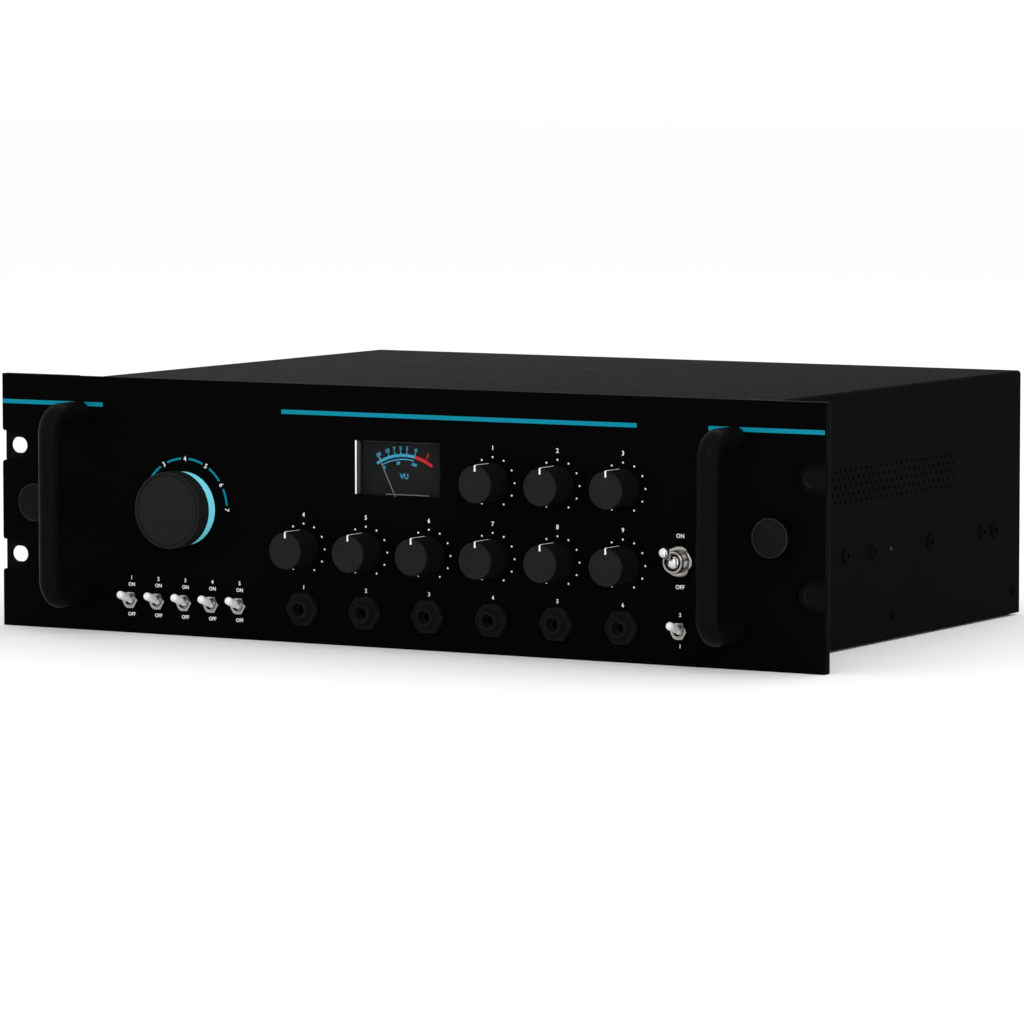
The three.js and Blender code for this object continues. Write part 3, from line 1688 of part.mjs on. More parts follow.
placeLever('lever_power', makeLever(powerToggle), powerPlace.x, powerPlace.z, powerToggle, finishes.chrome);
piece('jack_board', makeJackBoard(), finishes.darkPlastic);

// Level meter
piece('vu_meter_case', makeMeterCase(), finishes.dial);
piece('vu_meter_cover', makeMeterCover(), finishes.clear);
const needle = piece('vu_needle', makeNeedle(), finishes.whiteLever);
needle.position.set(panel.width * meter.pivotShare, meterDial - seat, pivotZ);
needle.rotation.y = -meter.restAngle * degree;

// Tape deck
piece('deck_plate', makeDeckPlate(), finishes.aluminium);
piece('chamber_cover', makeChamberCover(), finishes.clear);
piece('tape_loop', makeTapeLoop(), finishes.tape);
piece('head_block', makeHeadBlock(), finishes.aluminium);
piece('erase_head', headSolid(alongBridge(headPlaces.eraseShare), bridgeTop + seat), finishes.steel);
piece('record_head', headSolid(alongBridge(headPlaces.recordShare), bridgeTop + seat), finishes.steel);
piece('capstan', makeCapstan(), finishes.steel).position.set(capstan.x, capstanY, 0);
piece('pinch_arm', makePinchArm(), finishes.steel);
piece('pinch_roller', makePinchRoller(), finishes.rubber).position.set(capstan.x, rollerY, 0);
piece('motor', makeMotor(), finishes.steel);
piece('motor_pulley', makeMotorPulley(), finishes.brass).position.set(motorX, motor.y, 0);
piece('drive_belt', makeBelt(), finishes.rubber);

// Electronics
piece('transformer', makeTransformer(), finishes.copper);
piece('reverb_tank', makeReverbTank(), finishes.steel);
piece('main_board', makeMainBoard(), finishes.greenBoard);

// The middle of the depth, from the handles to the mains inlet, comes to Y = 0
unit.position.set(0, handleFront - overallDepth / 2, 0);

const assembly = new THREE.Group();
assembly.add(unit);
export default assembly;
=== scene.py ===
"""Looks of the tape echo unit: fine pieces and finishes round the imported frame."""

import math
from itertools import product
from types import SimpleNamespace

import bmesh
import bpy
from bpy.props import FloatProperty, FloatVectorProperty, PointerProperty
from mathutils import Matrix, Vector


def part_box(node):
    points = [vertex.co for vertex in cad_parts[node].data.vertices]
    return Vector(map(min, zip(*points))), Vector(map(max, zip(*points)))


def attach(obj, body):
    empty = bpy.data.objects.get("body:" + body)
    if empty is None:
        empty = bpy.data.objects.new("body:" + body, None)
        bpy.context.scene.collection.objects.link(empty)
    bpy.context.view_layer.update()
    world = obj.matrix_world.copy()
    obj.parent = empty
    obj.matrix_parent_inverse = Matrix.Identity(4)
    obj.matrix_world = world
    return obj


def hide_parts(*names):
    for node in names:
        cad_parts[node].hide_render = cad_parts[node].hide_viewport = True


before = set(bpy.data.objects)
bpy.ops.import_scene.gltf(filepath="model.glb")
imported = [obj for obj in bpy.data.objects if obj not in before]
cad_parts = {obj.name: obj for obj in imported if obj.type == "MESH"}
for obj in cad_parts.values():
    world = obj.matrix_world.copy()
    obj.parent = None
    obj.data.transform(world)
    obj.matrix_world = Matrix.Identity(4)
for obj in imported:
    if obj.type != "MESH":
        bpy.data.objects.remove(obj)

bl_info = {
    "name": "Tape echo unit",
    "version": (1, 0, 0),
    "blender": (4, 5, 0),
    "location": "3D View > Sidebar > Tape echo",
    "description": "Fine pieces and finishes for a rack tape echo unit",
    "category": "Object",
}

MM = 0.001
TURN = 2 * math.pi
QUARTER = math.pi / 2
OUTWARD = Vector((0, -1, 0))
UPWARD = Vector((0, 0, 1))
ACROSS = Vector((1, 0, 0))
BACKWARD = Vector((0, 1, 0))
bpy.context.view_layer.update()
PANEL_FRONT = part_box("front_panel")[0].y
TO_FRAME = Matrix.Translation((0, PANEL_FRONT, 0)) @ Matrix.Scale(MM, 4)
TO_PANEL = TO_FRAME.inverted()
SIDES = (-1, 1)
WORD_SIZE_SHARE = 1.37

# In millimetres: thickness of print, reach of a cutter past the piece, distance at which corners join
INK = 0.04
OVERRUN = 1
WELD = 0.0005


def length(name, description, millimetres):
    """A size that a user may change."""
    return FloatProperty(name=name, description=description, default=millimetres * MM, unit="LENGTH")


def linear(code):
    """The linear colour of a hex code such as 64cde3."""
    parts = [int(code[i:i + 2], 16) / 255 for i in (0, 2, 4)]
    return tuple(p / 12.92 if p <= 0.04045 else ((p + 0.055) / 1.055) ** 2.4 for p in parts)


def tint(name, description, code):
    """A colour that a user may change."""
    return FloatVectorProperty(
        name=name, description=description, subtype="COLOR", size=3, min=0, max=1, default=linear(code))


class TapeEchoSizes(bpy.types.PropertyGroup):
    """Sizes of the fine pieces."""

    panel_edge: length("Panel edge", "Rounding of the front panel's edges", 0.25)
    stripe_height: length("Stripe height", "Height of the printed stripe", 2.2)
    stripe_level: length("Stripe level", "Middle of the stripe above the panel's bottom edge", 118)
    dial_dot: length("Dot radius", "Radius of the dots round a knob", 0.5)
    dial_ring: length("Dot ring", "Radius of the ring of dots round a knob", 12.6)
    flute_depth: length("Flute depth", "Depth of the flutes in a knob's side", 0.4)
    pointer_width: length("Pointer width", "Width of the white line on a knob", 0.9)
    mode_ring: length("Mode ring", "Radius of the arc of numbers round the mode knob", 25.6)
    handle_radius: length("Handle radius", "Radius of the bar handles", 5.6)
    handle_bend: length("Handle bend", "Bend radius of the bar handles at the middle of the bar", 10)
    case_corner: length("Case corner", "Outside radius of the folded edges of the case", 2)
    vent_hole: length("Vent hole", "Radius of the small holes in the sides of the case", 1.0)
    vent_pitch: length("Vent pitch", "Distance between vent holes along a row", 5.8)
    vent_rise: length("Vent rise", "Distance between rows of vent holes", 4)
    screw_head: length("Screw head", "Radius of the screw heads on the case", 4.2)


class TapeEchoColours(bpy.types.PropertyGroup):
    """Colours of the finishes."""

    panel: tint("Panel", "Black paint of the front panel", "050505")
    case: tint("Case", "Black powder coat of the case", "0c0c0c")
    bar: tint("Bar", "Black finish of the handles", "0b0b0b")
    knob: tint("Knob", "Black plastic of the knobs", "1c1c1c")
    lock: tint("Lock", "Black plastic of the locks", "141414")
    # Lighter than the collar's own cyan: painted light that brightens it
    accent: tint("Accent", "Collar of the mode knob", "80e8fa")
    stripe: tint("Stripe", "Printed stripe and arc", "0c8299")
    ink: tint("Ink", "White print", "f2f2f0")
    scale: tint("Scale", "Blue print on the meter", "4cc4ee")
    overload: tint("Overload", "Red print on the meter", "e8232b")


def sizes():
    """The sizes in millimetres."""
    group = bpy.context.scene.tape_echo_sizes
    keys = [p.identifier for p in group.bl_rna.properties if p.type == "FLOAT"]
    return SimpleNamespace(**{key: getattr(group, key) / MM for key in keys})


def colours():
    """The colours as plain triples."""
    group = bpy.context.scene.tape_echo_colours
    keys = [p.identifier for p in group.bl_rna.properties if p.type == "FLOAT"]
    return SimpleNamespace(**{key: tuple(getattr(group, key)) for key in keys})


# Shader building: blots, grain and relief are in millimetres, shine is the specular level
class Signal:
    """A value on its way through a material, open to Python sums."""

    def __init__(self, finish, socket):
        self.finish = finish
        self.socket = socket

    def __add__(self, other):
        return self.finish.sum("ADD", self, other)

    def __sub__(self, other):
        return self.finish.sum("SUBTRACT", self, other)

    def __rsub__(self, other):
        return self.finish.sum("SUBTRACT", other, self)

    def __mul__(self, other):
        return self.finish.sum("MULTIPLY", self, other)

    def __gt__(self, other):
        return self.finish.sum("GREATER_THAN", self, other)

    __radd__ = __add__
    __rmul__ = __mul__


class Finish:
    """A surface: one principled shader and the nodes that feed it."""

    def __init__(self, name, colour, roughness, **fixed):
        self.material = bpy.data.materials.new(name)
        self.material.use_nodes = True
        self.tree = self.material.node_tree
        self.tree.nodes.clear()
        self.shader = self.tree.nodes.new("ShaderNodeBsdfPrincipled")
        output = self.tree.nodes.new("ShaderNodeOutputMaterial")
        self.tree.links.new(self.shader.outputs[0], output.inputs["Surface"])
        self.shader.inputs["Base Color"].default_value = (*colour, 1)
        self.shader.inputs["Roughness"].default_value = roughness
        for name_of, value in fixed.items():
            self.shader.inputs[name_of.replace("_", " ")].default_value = value
        self.colour = colour
        self.roughness = roughness

    def node(self, kind, settings, inputs, output=0):
        """Any node: its settings first, then the values or links of its sockets."""
        made = self.tree.nodes.new(kind)
        for key, value in settings.items():
            setattr(made, key, value)
        for key, value in inputs.items():
            if isinstance(value, Signal):
                self.tree.links.new(value.socket, made.inputs[key])
            else:
                made.inputs[key].default_value = value
        return Signal(self, made.outputs[output])

    def sum(self, operation, first, second):
        return self.node("ShaderNodeMath", {"operation": operation}, {0: first, 1: second})

    def place(self, stretch=(1, 1, 1)):
        """Object coordinates, in metres, each way multiplied by stretch."""
        here = self.node("ShaderNodeTexCoord", {}, {}, "Object")
        return self.node("ShaderNodeVectorMath", {"operation": "MULTIPLY"}, {0: here, 1: stretch})

    def noise(self, size, detail=2.0, stretch=(1, 1, 1)):
        """Soft noise with blots about size millimetres across."""
        vector = self.place([s / (size * MM) for s in stretch])
        return self.node("ShaderNodeTexNoise", {}, {"Vector": vector, "Scale": 1.0, "Detail": detail})

    def cells(self, size):
        """Distance in a cell pattern about size millimetres across."""
        vector = self.place([1 / (size * MM)] * 3)
        return self.node("ShaderNodeTexVoronoi", {}, {"Vector": vector, "Scale": 1.0})

    def blend(self, factor, first, second):
        """A colour between two, the second where factor is 1."""
        ends = {0: factor, 6: (*first, 1), 7: (*second, 1)}
        return self.node("ShaderNodeMix", {"data_type": "RGBA"}, ends, 2)

    def feed(self, name, signal):
        self.tree.links.new(signal.socket, self.shader.inputs[name])

    def shades(self, factor, darker=0.8, lighter=1.2):
        """Varies the base colour between a darker and a lighter one."""
        low = [min(c * darker, 1) for c in self.colour]
        high = [min(c * lighter, 1) for c in self.colour]
        self.feed("Base Color", self.blend(factor, low, high))

    def gloss(self, factor, spread):
        """Varies the roughness by spread round its middle."""
        self.feed("Roughness", self.roughness - spread / 2 + factor * spread)

    def relief(self, height, depth):
        """Bump of a depth in millimetres."""
        values = {"Strength": 1.0, "Distance": depth * MM, "Height": height}
        self.feed("Normal", self.node("ShaderNodeBump", {}, values))


def painted(name, colour, roughness, grain, depth, shine):
    """Paint or powder coat: fine orange peel, slightly uneven tone and gloss."""
    finish = Finish(name, colour, roughness, Specular_IOR_Level=shine)
    clouds = finish.noise(45, 4)
    finish.shades(clouds, 0.85, 1.15)
    finish.gloss(finish.noise(12, 3), 0.12)
    finish.relief(finish.noise(grain, 1.5), depth)
    return finish.material


def moulded(name, colour, roughness, grain, depth, shine, **fixed):
    """Moulded plastic: spark-eroded grain and a little handling shine."""
    finish = Finish(name, colour, roughness, Specular_IOR_Level=shine, **fixed)
    finish.shades(finish.noise(9, 3), 0.85, 1.2)
    finish.gloss(finish.noise(4, 3), 0.16)
    finish.relief(finish.noise(grain, 2), depth)
    return finish.material


def metal(name, colour, roughness, streak=(1, 1, 1), grain=0.6, depth=0.006, spread=0.15):
    """Bare or plated metal with streaks along the stretched way."""
    finish = Finish(name, colour, roughness, Metallic=1.0)
    streaks = finish.noise(grain, 3, streak)
    finish.shades(finish.noise(14, 4), 0.86, 1.08)
    finish.gloss(streaks, spread)
    finish.relief(streaks, depth)
    return finish.material


def printed(name, colour, shine=0.2):
    """Screen-printed ink: matt, with a faint unevenness."""
    finish = Finish(name, colour, 0.55, Specular_IOR_Level=shine)
    finish.shades(finish.noise(1.5, 3), 0.93, 1.05)
    finish.gloss(finish.noise(0.8, 2), 0.15)
    return finish.material


def window(name, colour, shine):
    """Clear moulded plastic with faint wipe marks."""
    finish = Finish(name, colour, 0.06, Alpha=0.1, Specular_IOR_Level=shine)
    smears = finish.noise(16, 4, (1, 1, 0.35))
    finish.gloss(smears, 0.06)
    finish.feed("Alpha", 0.05 + smears * 0.06)
    return finish.material


def spangled(name):
    """Zinc-plated sheet: pale crystals of slightly different tone."""
    finish = Finish(name, (0.56, 0.57, 0.58), 0.38, Metallic=1.0)
    crystals = finish.cells(7)
    finish.shades(crystals * 0.7 + finish.noise(30, 3) * 0.3, 0.82, 1.1)
    finish.gloss(crystals, 0.14)
    finish.relief(finish.noise(1.2, 2), 0.01)
    return finish.material


def circuit(name):
    """Green lacquer over copper tracks on a half-millimetre grid."""
    finish = Finish(name, (0.012, 0.09, 0.035), 0.32)
    tracks = finish.noise(2.2, 0, (1, 0.12, 1)) > 0.56
    crossing = finish.noise(2.2, 0, (0.12, 1, 0.12)) > 0.58
    copper = finish.sum("MAXIMUM", tracks, crossing)
    finish.feed("Base Color", finish.blend(copper, (0.01, 0.075, 0.03), (0.03, 0.17, 0.06)))
    finish.gloss(finish.noise(6, 3), 0.12)
    finish.relief(copper, 0.03)
    return finish.material


def oxide(name):
    """Brown recording tape: smooth, with faint lines along its length."""
    finish = Finish(name, (0.052, 0.024, 0.013), 0.28, Coat_Weight=0.2)
    lines = finish.noise(0.5, 2, (0.02, 0.02, 1))
    finish.shades(lines, 0.8, 1.25)
    finish.gloss(lines, 0.12)
    return finish.material


def wound(name):
    """Copper winding under clear wrap: fine turns round the ring."""
    finish = Finish(name, (0.42, 0.16, 0.06), 0.35, Metallic=0.6, Coat_Weight=0.4)
    turns = finish.noise(0.8, 2, (1, 1, 0.06))
    finish.shades(turns, 0.55, 1.3)
    finish.gloss(turns, 0.2)
    finish.relief(turns, 0.15)
    return finish.material


FINISHES = {}


def finishes():
    """Every finish by its short name, made once."""
    if FINISHES:
        return FINISHES
    tone = colours()
    FINISHES.update({
        "panel": painted("panel_black", tone.panel, 0.5, 0.35, 0.006, 0.005),
        "case": painted("case_black", tone.case, 0.5, 0.7, 0.02, 0.0021),
        "bar": painted("bar_black", tone.bar, 0.36, 0.4, 0.006, 0.02),
        "knob": moulded("knob_black", tone.knob, 0.42, 0.3, 0.008, 0.04),
        # Grip: a darker copy of the knob plastic, painted shade on the knobs' fluted sides
        "grip": moulded("grip_black", linear("111111"), 0.45, 0.3, 0.008, 0.02),
        "lock": moulded("lock_black", tone.lock, 0.42, 0.3, 0.008, 0.02),
        # Rim grey, lighter than the lock black: on the locks' rims it is a painted highlight along the
        # bevel; screws and pins take it as their own dark grey
        "rim": moulded("rim_black", linear("242424"), 0.35, 0.3, 0.004, 0.03),
        "ear": painted("ear_black", linear("0e0e0e"), 0.45, 0.6, 0.02, 0.005),
        "nylon": moulded("nylon_black", linear("141414"), 0.4, 0.5, 0.01, 0.01),
        "housing": moulded("housing_black", linear("141414"), 0.6, 0.4, 0.02, 0.1),
        "dial": moulded("dial_black", linear("1b1b1b"), 0.7, 0.4, 0.005, 0.05),
        # Collar: a base colour lighter than its own cyan, plus emission, both painted light that brightens
        # the collar
        "accent": moulded("collar_cyan", tone.accent, 0.4, 0.3, 0.005, 0.2,
                           Emission_Color=(0.15, 0.66, 0.98, 1), Emission_Strength=0.2),
        "ink": printed("ink_white", tone.ink),
        "stripe": printed("ink_teal", tone.stripe, 0.03),
        "scale": printed("ink_blue", tone.scale),
        "overload": printed("ink_red", tone.overload),
        "window": window("window_clear", (0.85, 0.93, 0.95), 0.35),
        "pane": window("pane_clear", (0.02, 0.022, 0.024), 0.06),
        "zinc": spangled("zinc_sheet"),
        "steel": metal("steel_ground", (0.6, 0.61, 0.62), 0.3, (0.1, 1, 1)),
        "polished": metal("steel_polished", (0.7, 0.7, 0.71), 0.14, (1, 1, 0.1), 0.4, 0.002, 0.08),
        "chrome": metal("chrome_bright", (0.8, 0.8, 0.81), 0.1, (1, 1, 1), 2.0, 0.001, 0.1),
        "nickel": metal("nickel_plate", (0.36, 0.34, 0.32), 0.2, (1, 1, 1), 1.2, 0.004, 0.12),
        "satin": moulded("lever_satin", linear("ececea"), 0.3, 0.6, 0.003, 0.5),
        "aluminium": metal("aluminium_brushed", (0.72, 0.73, 0.74), 0.34, (0.04, 1, 1), 0.5),
        "brass": metal("brass_turned", (0.65, 0.46, 0.2), 0.26, (1, 1, 0.08), 0.4),
        "rubber": moulded("rubber_black", linear("1b1b1b"), 0.8, 0.5, 0.02, 0.2),
        "circuit": circuit("board_green"),
        "tape": oxide("tape_brown"),
        "winding": wound("winding_copper"),
        # Lens: a pale strip at the window's left wall, a painted highlight for light in the clear cover's
        # wall
        "glow": printed("lens_white", (0.9, 0.92, 0.93)),
        "sleeve": moulded("sleeve_blue", linear("1c2740"), 0.35, 0.8, 0.004, 0.4),
        "resin": moulded("resin_black", linear("161616"), 0.55, 0.3, 0.01, 0.3),
        "ceramic": moulded("ceramic_tan", linear("b98d5a"), 0.5, 0.4, 0.01, 0.3),
        "socket": moulded("socket_white", linear("d9d6cc"), 0.45, 0.5, 0.01, 0.4),
        "loom_grey": moulded("wire_grey", linear("6f7378"), 0.45, 0.6, 0.004, 0.3),
        "loom_red": moulded("wire_red", linear("a3241c"), 0.45, 0.6, 0.004, 0.3),
        "grey": printed("needle_grey", linear("a4a6a8")),
        # Frame grey: strips along the window's inner edges, a painted highlight for light on the clear
        # cover's edges
        "frame": printed("frame_grey", linear("4c4e50")),
    })
    return FINISHES


def points_of(made):
    """The vertices among what an operator made."""
    return [item for item in made if isinstance(item, bmesh.types.BMVert)]


def ring_of(made, verts):
    """The edges among what an operator made that join some vertices."""
    lines = [item for item in made if isinstance(item, bmesh.types.BMEdge)]
    return [line for line in lines if all(vert in verts for vert in line.verts)]


# Piece building, in millimetres from the middle of the panel face's bottom edge
class Form:
    """A bmesh that operators shape, and that becomes one piece of the object."""

    def __init__(self):
        self.bm = bmesh.new()

    def block(self, low, high, edge=0.0, steps=2):
        """A box between two corners, its edges rounded."""
        low, high = Vector(low), Vector(high)
        made = bmesh.ops.create_cube(self.bm, size=1)["verts"]
        bmesh.ops.scale(self.bm, verts=made, vec=high - low)
        bmesh.ops.translate(self.bm, verts=made, vec=(low + high) / 2)
        if edge:
            lines = list({line for vert in made for line in vert.link_edges})
            self.bevel(lines, edge, steps)
        return self

    def bevel(self, lines, offset, steps=2):
        bmesh.ops.bevel(self.bm, geom=lines, offset=offset, segments=steps, profile=0.5,
                        affect="EDGES", material=-1)

    def prism(self, points, way, edge=0.0, steps=2):
        """A flat outline pushed along way, with both rims rounded."""
        verts = [self.bm.verts.new(point) for point in points]
        face = self.bm.faces.new(verts)
        rims = list(face.edges)
        moved = bmesh.ops.extrude_face_region(self.bm, geom=[face], use_keep_orig=True)["geom"]
        rims += [item for item in moved if isinstance(item, bmesh.types.BMEdge)]
        bmesh.ops.translate(self.bm, verts=points_of(moved), vec=way)
        if edge:
            self.bevel(rims, edge, steps)
        return self

    def turn(self, profile, centre, axis=OUTWARD, steps=48, closed=False):
        """A profile of (radius, advance) pairs spun round an axis."""
        centre, axis = Vector(centre), Vector(axis)
        side = ACROSS if abs(axis.x) < 0.5 else UPWARD
        verts = [self.bm.verts.new(centre + side * r + axis * advance) for r, advance in profile]
        pairs = list(zip(verts, verts[1:])) + ([(verts[-1], verts[0])] if closed else [])
        lines = [self.bm.edges.new(pair) for pair in pairs]
        bmesh.ops.spin(self.bm, geom=verts + lines, cent=centre, axis=axis, angle=TURN, steps=steps,
                       use_merge=True, use_duplicate=False)
        return self

    def rod(self, centre, axis, radius, start, end, steps=24, edge=0.0):
        """A solid round rod with chamfered ends."""
        profile = [(0, start), (radius - edge, start), (radius, start + edge),
                   (radius, end - edge), (radius - edge, end), (0, end)]
        return self.turn(profile if edge else [profile[0], profile[1], profile[4], profile[5]],
                         centre, axis, steps)

    def tube(self, centre, axis, inner, outer, start, end, steps=32, edge=0.0):
        """A ring of square section with its corners chamfered."""
        if edge:
            profile = [(inner, start + edge), (inner + edge, start), (outer - edge, start),
                       (outer, start + edge), (outer, end - edge), (outer - edge, end),
                       (inner + edge, end), (inner, end - edge)]
        else:
            profile = [(inner, start), (outer, start), (outer, end), (inner, end)]
        return self.turn(profile, centre, axis, steps, closed=True)

    def wire(self, points, radius, sides=8):
        """A round wire along a path, closed at both ends."""
        path = [Vector(point) for point in points]
        last = len(path) - 1
        ways = [(path[min(i + 1, last)] - path[max(i - 1, 0)]).normalized() for i in range(last + 1)]
        ring = bmesh.ops.create_circle(self.bm, segments=sides, radius=radius)["verts"]
        facing = ways[0].to_track_quat("Z", "Y").to_matrix().to_4x4()
        bmesh.ops.transform(self.bm, matrix=Matrix.Translation(path[0]) @ facing, verts=ring)
        lines = list({line for vert in ring for line in vert.link_edges})
        bmesh.ops.contextual_create(self.bm, geom=lines)
        for i in range(1, last + 1):
            made = bmesh.ops.extrude_edge_only(self.bm, edges=lines)["geom"]
            ring = points_of(made)
            swing = ways[i - 1].rotation_difference(ways[i]).to_matrix().to_4x4()
            step = Matrix.Translation(path[i]) @ swing @ Matrix.Translation(-path[i - 1])
            bmesh.ops.transform(self.bm, matrix=step, verts=ring)
            lines = ring_of(made, ring)
        bmesh.ops.contextual_create(self.bm, geom=lines)
        return self

    def hexagon(self, x, z, across, back, front, bore, edge=0.5, clip=1.0):
        """A chamfered hexagon nut round an axis out of the panel, its corners clipped to a share."""
        radius = across / math.sqrt(3)
        nut = Form().rod((x, 0, z), OUTWARD, radius * clip, back, front, 48, edge)
        corners = [(px, OVERRUN - back, pz) for px, pz in around((x, z), radius * 1.02, 6)]
        nut.combine(Form().prism(corners, (0, back - front - 2 * OVERRUN, 0)), "INTERSECT")
        nut.combine(Form().rod((x, 0, z), OUTWARD, bore, back - OVERRUN, front + OVERRUN, 32))
        return self.take(nut)

    def band(self, x, z, inner, outer, start, end, back, front, steps=12):
        """A flat arc on the panel, its angles counted clockwise from the top."""
        def at(radius, y):
            return (x + radius * math.sin(start), -y, z + radius * math.cos(start))
        verts = [self.bm.verts.new(at(r, y)) for r, y in
                 ((inner, back), (outer, back), (outer, front), (inner, front))]
        lines = [self.bm.edges.new(pair) for pair in zip(verts, verts[1:] + verts[:1])]
        first = self.bm.faces.new(verts)
        swept = bmesh.ops.spin(self.bm, geom=verts + lines, cent=(x, 0, z), axis=BACKWARD,
                               angle=end - start, steps=steps, use_duplicate=False)["geom_last"]
        self.bm.faces.new(points_of(swept))
        first.normal_flip()
        return self

    def words(self, text, x, z, height, front=INK, back=0.0, turned=0.0, heavy=0.0):
        """Raised lettering on a plane facing out, its middle at (x, z)."""
        curve = bpy.data.curves.new("word", "FONT")
        curve.body = text
        curve.size = height * WORD_SIZE_SHARE
        curve.extrude = (front - back) / 2
        curve.offset = heavy
        curve.resolution_u = 3
        holder = bpy.data.objects.new("word", curve)
        bpy.context.scene.collection.objects.link(holder)
        state = holder.evaluated_get(bpy.context.evaluated_depsgraph_get())
        mesh = bpy.data.meshes.new_from_object(state)
        bpy.data.objects.remove(holder)
        xs = [v.co.x for v in mesh.vertices]
        ys = [v.co.y for v in mesh.vertices]
        centre = Matrix.Translation((-(min(xs) + max(xs)) / 2, -(min(ys) + max(ys)) / 2, 0))
        stand = Matrix.Rotation(QUARTER, 4, "X")
        lean = Matrix.Rotation(turned, 4, "Y")
        mesh.transform(Matrix.Translation((x, -(front + back) / 2, z)) @ lean @ stand @ centre)
        self.bm.from_mesh(mesh)
        bpy.data.meshes.remove(mesh)
        return self

    def take(self, other):
        """Adds another form's shapes to this one."""
        mesh = bpy.data.meshes.new("part")
        other.bm.to_mesh(mesh)
        self.bm.from_mesh(mesh)
        bpy.data.meshes.remove(mesh)
        other.bm.free()
        return self

    def tidy(self):
        bmesh.ops.remove_doubles(self.bm, verts=self.bm.verts, dist=WELD)
        bmesh.ops.recalc_face_normals(self.bm, faces=self.bm.faces)

    def loose(self, name):
        """A passing object of this form, for the boolean modifier."""
        self.tidy()
        mesh = bpy.data.meshes.new(name)
        self.bm.to_mesh(mesh)
        made = bpy.data.objects.new(name, mesh)
        bpy.context.scene.collection.objects.link(made)
        return made

    def combine(self, other, operation="DIFFERENCE"):
        """Cuts, joins or intersects this form with another."""
        body, tool = self.loose("body"), other.loose("tool")
        modifier = body.modifiers.new("combine", "BOOLEAN")
        modifier.operation = operation
        modifier.solver = "EXACT"
        modifier.object = tool
        state = body.evaluated_get(bpy.context.evaluated_depsgraph_get())
        mesh = bpy.data.meshes.new_from_object(state)
        self.bm.clear()
        self.bm.from_mesh(mesh)
        bpy.data.meshes.remove(mesh)
        for passing in (body, tool):
            bpy.data.objects.remove(passing)
        other.bm.free()
        if not self.bm.faces:
            raise RuntimeError("combining two forms left nothing")
        return self

    def move(self, matrix):
        bmesh.ops.transform(self.bm, matrix=matrix, verts=self.bm.verts)
        return self

    def done(self, name, body, slot, finish, replaces=(), sharp=32):
        """Makes the piece, in metres in the shared frame, riding on its body."""
        self.tidy()
        self.move(TO_FRAME)
        limit = math.radians(sharp)
        for face in self.bm.faces:
            face.smooth = True
        for line in self.bm.edges:
            line.smooth = line.is_manifold and line.calc_face_angle(0) < limit
        mesh = bpy.data.meshes.new(name)
        self.bm.to_mesh(mesh)
        self.bm.free()
        mesh.materials.append(finishes()[finish])
        piece = bpy.data.objects.new(name, mesh)
        bpy.context.scene.collection.objects.link(piece)
        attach(piece, body)
        if replaces:
            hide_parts(*replaces)
        return piece


def extent(node):
    """A node's lowest and highest corner in panel millimetres."""
    low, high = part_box(node)
    return TO_PANEL @ low, TO_PANEL @ high


def centre_of(node):
    low, high = extent(node)
    return (low + high) / 2


def sweep(centre, radius, start, end, steps):
    """Pairs of places along an arc, both ends included."""
    angles = [start + (end - start) * i / steps for i in range(steps + 1)]
    return [(centre[0] + radius * math.cos(a), centre[1] + radius * math.sin(a)) for a in angles]


def around(centre, radius, count):
    """Evenly spaced pairs of places round a centre."""
    return sweep(centre, radius, 0, TURN, count)[:-1]


def arc(x, z, radius, start, end, steps, y=0):
    """Points of an arc in a plane beside the panel's."""
    return [(px, y, pz) for px, pz in sweep((x, z), radius, start, end, steps)]


def knob_nodes():
    return sorted(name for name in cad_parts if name.startswith(("knob_lower", "knob_upper")))


# Front panel
RACK_HOLES = (37.675, 94.825)
NOTCH_HALF = 7.75
NOTCH_DEPTH = 16.2
NOTCH_CORNER = 1.5
METER_GAP = 0.3
JACK_LEVEL = 17.4
TOGGLE_LEVEL = 17.2
OUTPUT_LEVEL = 17.4
POWER_LEVEL = 51.9
BORES = {"pot": 4.7, "jack": 5.7, "toggle": 3.3, "power": 6.1, "mode": 5.3, "lock": 3.4}


def panel_outline(side, height):
    """The panel's edge, with a round-ended notch at each rack hole."""
    inner = side - NOTCH_DEPTH + NOTCH_HALF
    half, corner = NOTCH_HALF, NOTCH_CORNER
    right = [(side, 0, 0)]
    for z in RACK_HOLES:
        right += arc(side - corner, z - half - corner, corner, 0, QUARTER, 4)
        right += arc(inner, z, half, -QUARTER, -3 * QUARTER, 24)
        right += arc(side - corner, z + half + corner, corner, -QUARTER, 0, 4)
    right.append((side, 0, height))
    left = [(-x, y, z) for x, y, z in reversed(right)]
    return right + left


def jack_places():
    return sorted(centre_of(node).x for node in knob_nodes() if node.startswith("knob_lower"))


def switch_places():
    """Places and panel bores of all the toggle switches, the power toggle last."""
    rows = [(f"lever_{i}", TOGGLE_LEVEL, "toggle") for i in range(1, 6)]
    rows += [("lever_level", OUTPUT_LEVEL, "toggle"), ("lever_power", POWER_LEVEL, "power")]
    return [(Vector((centre_of(node).x, 0, level)), BORES[bore]) for node, level, bore in rows]


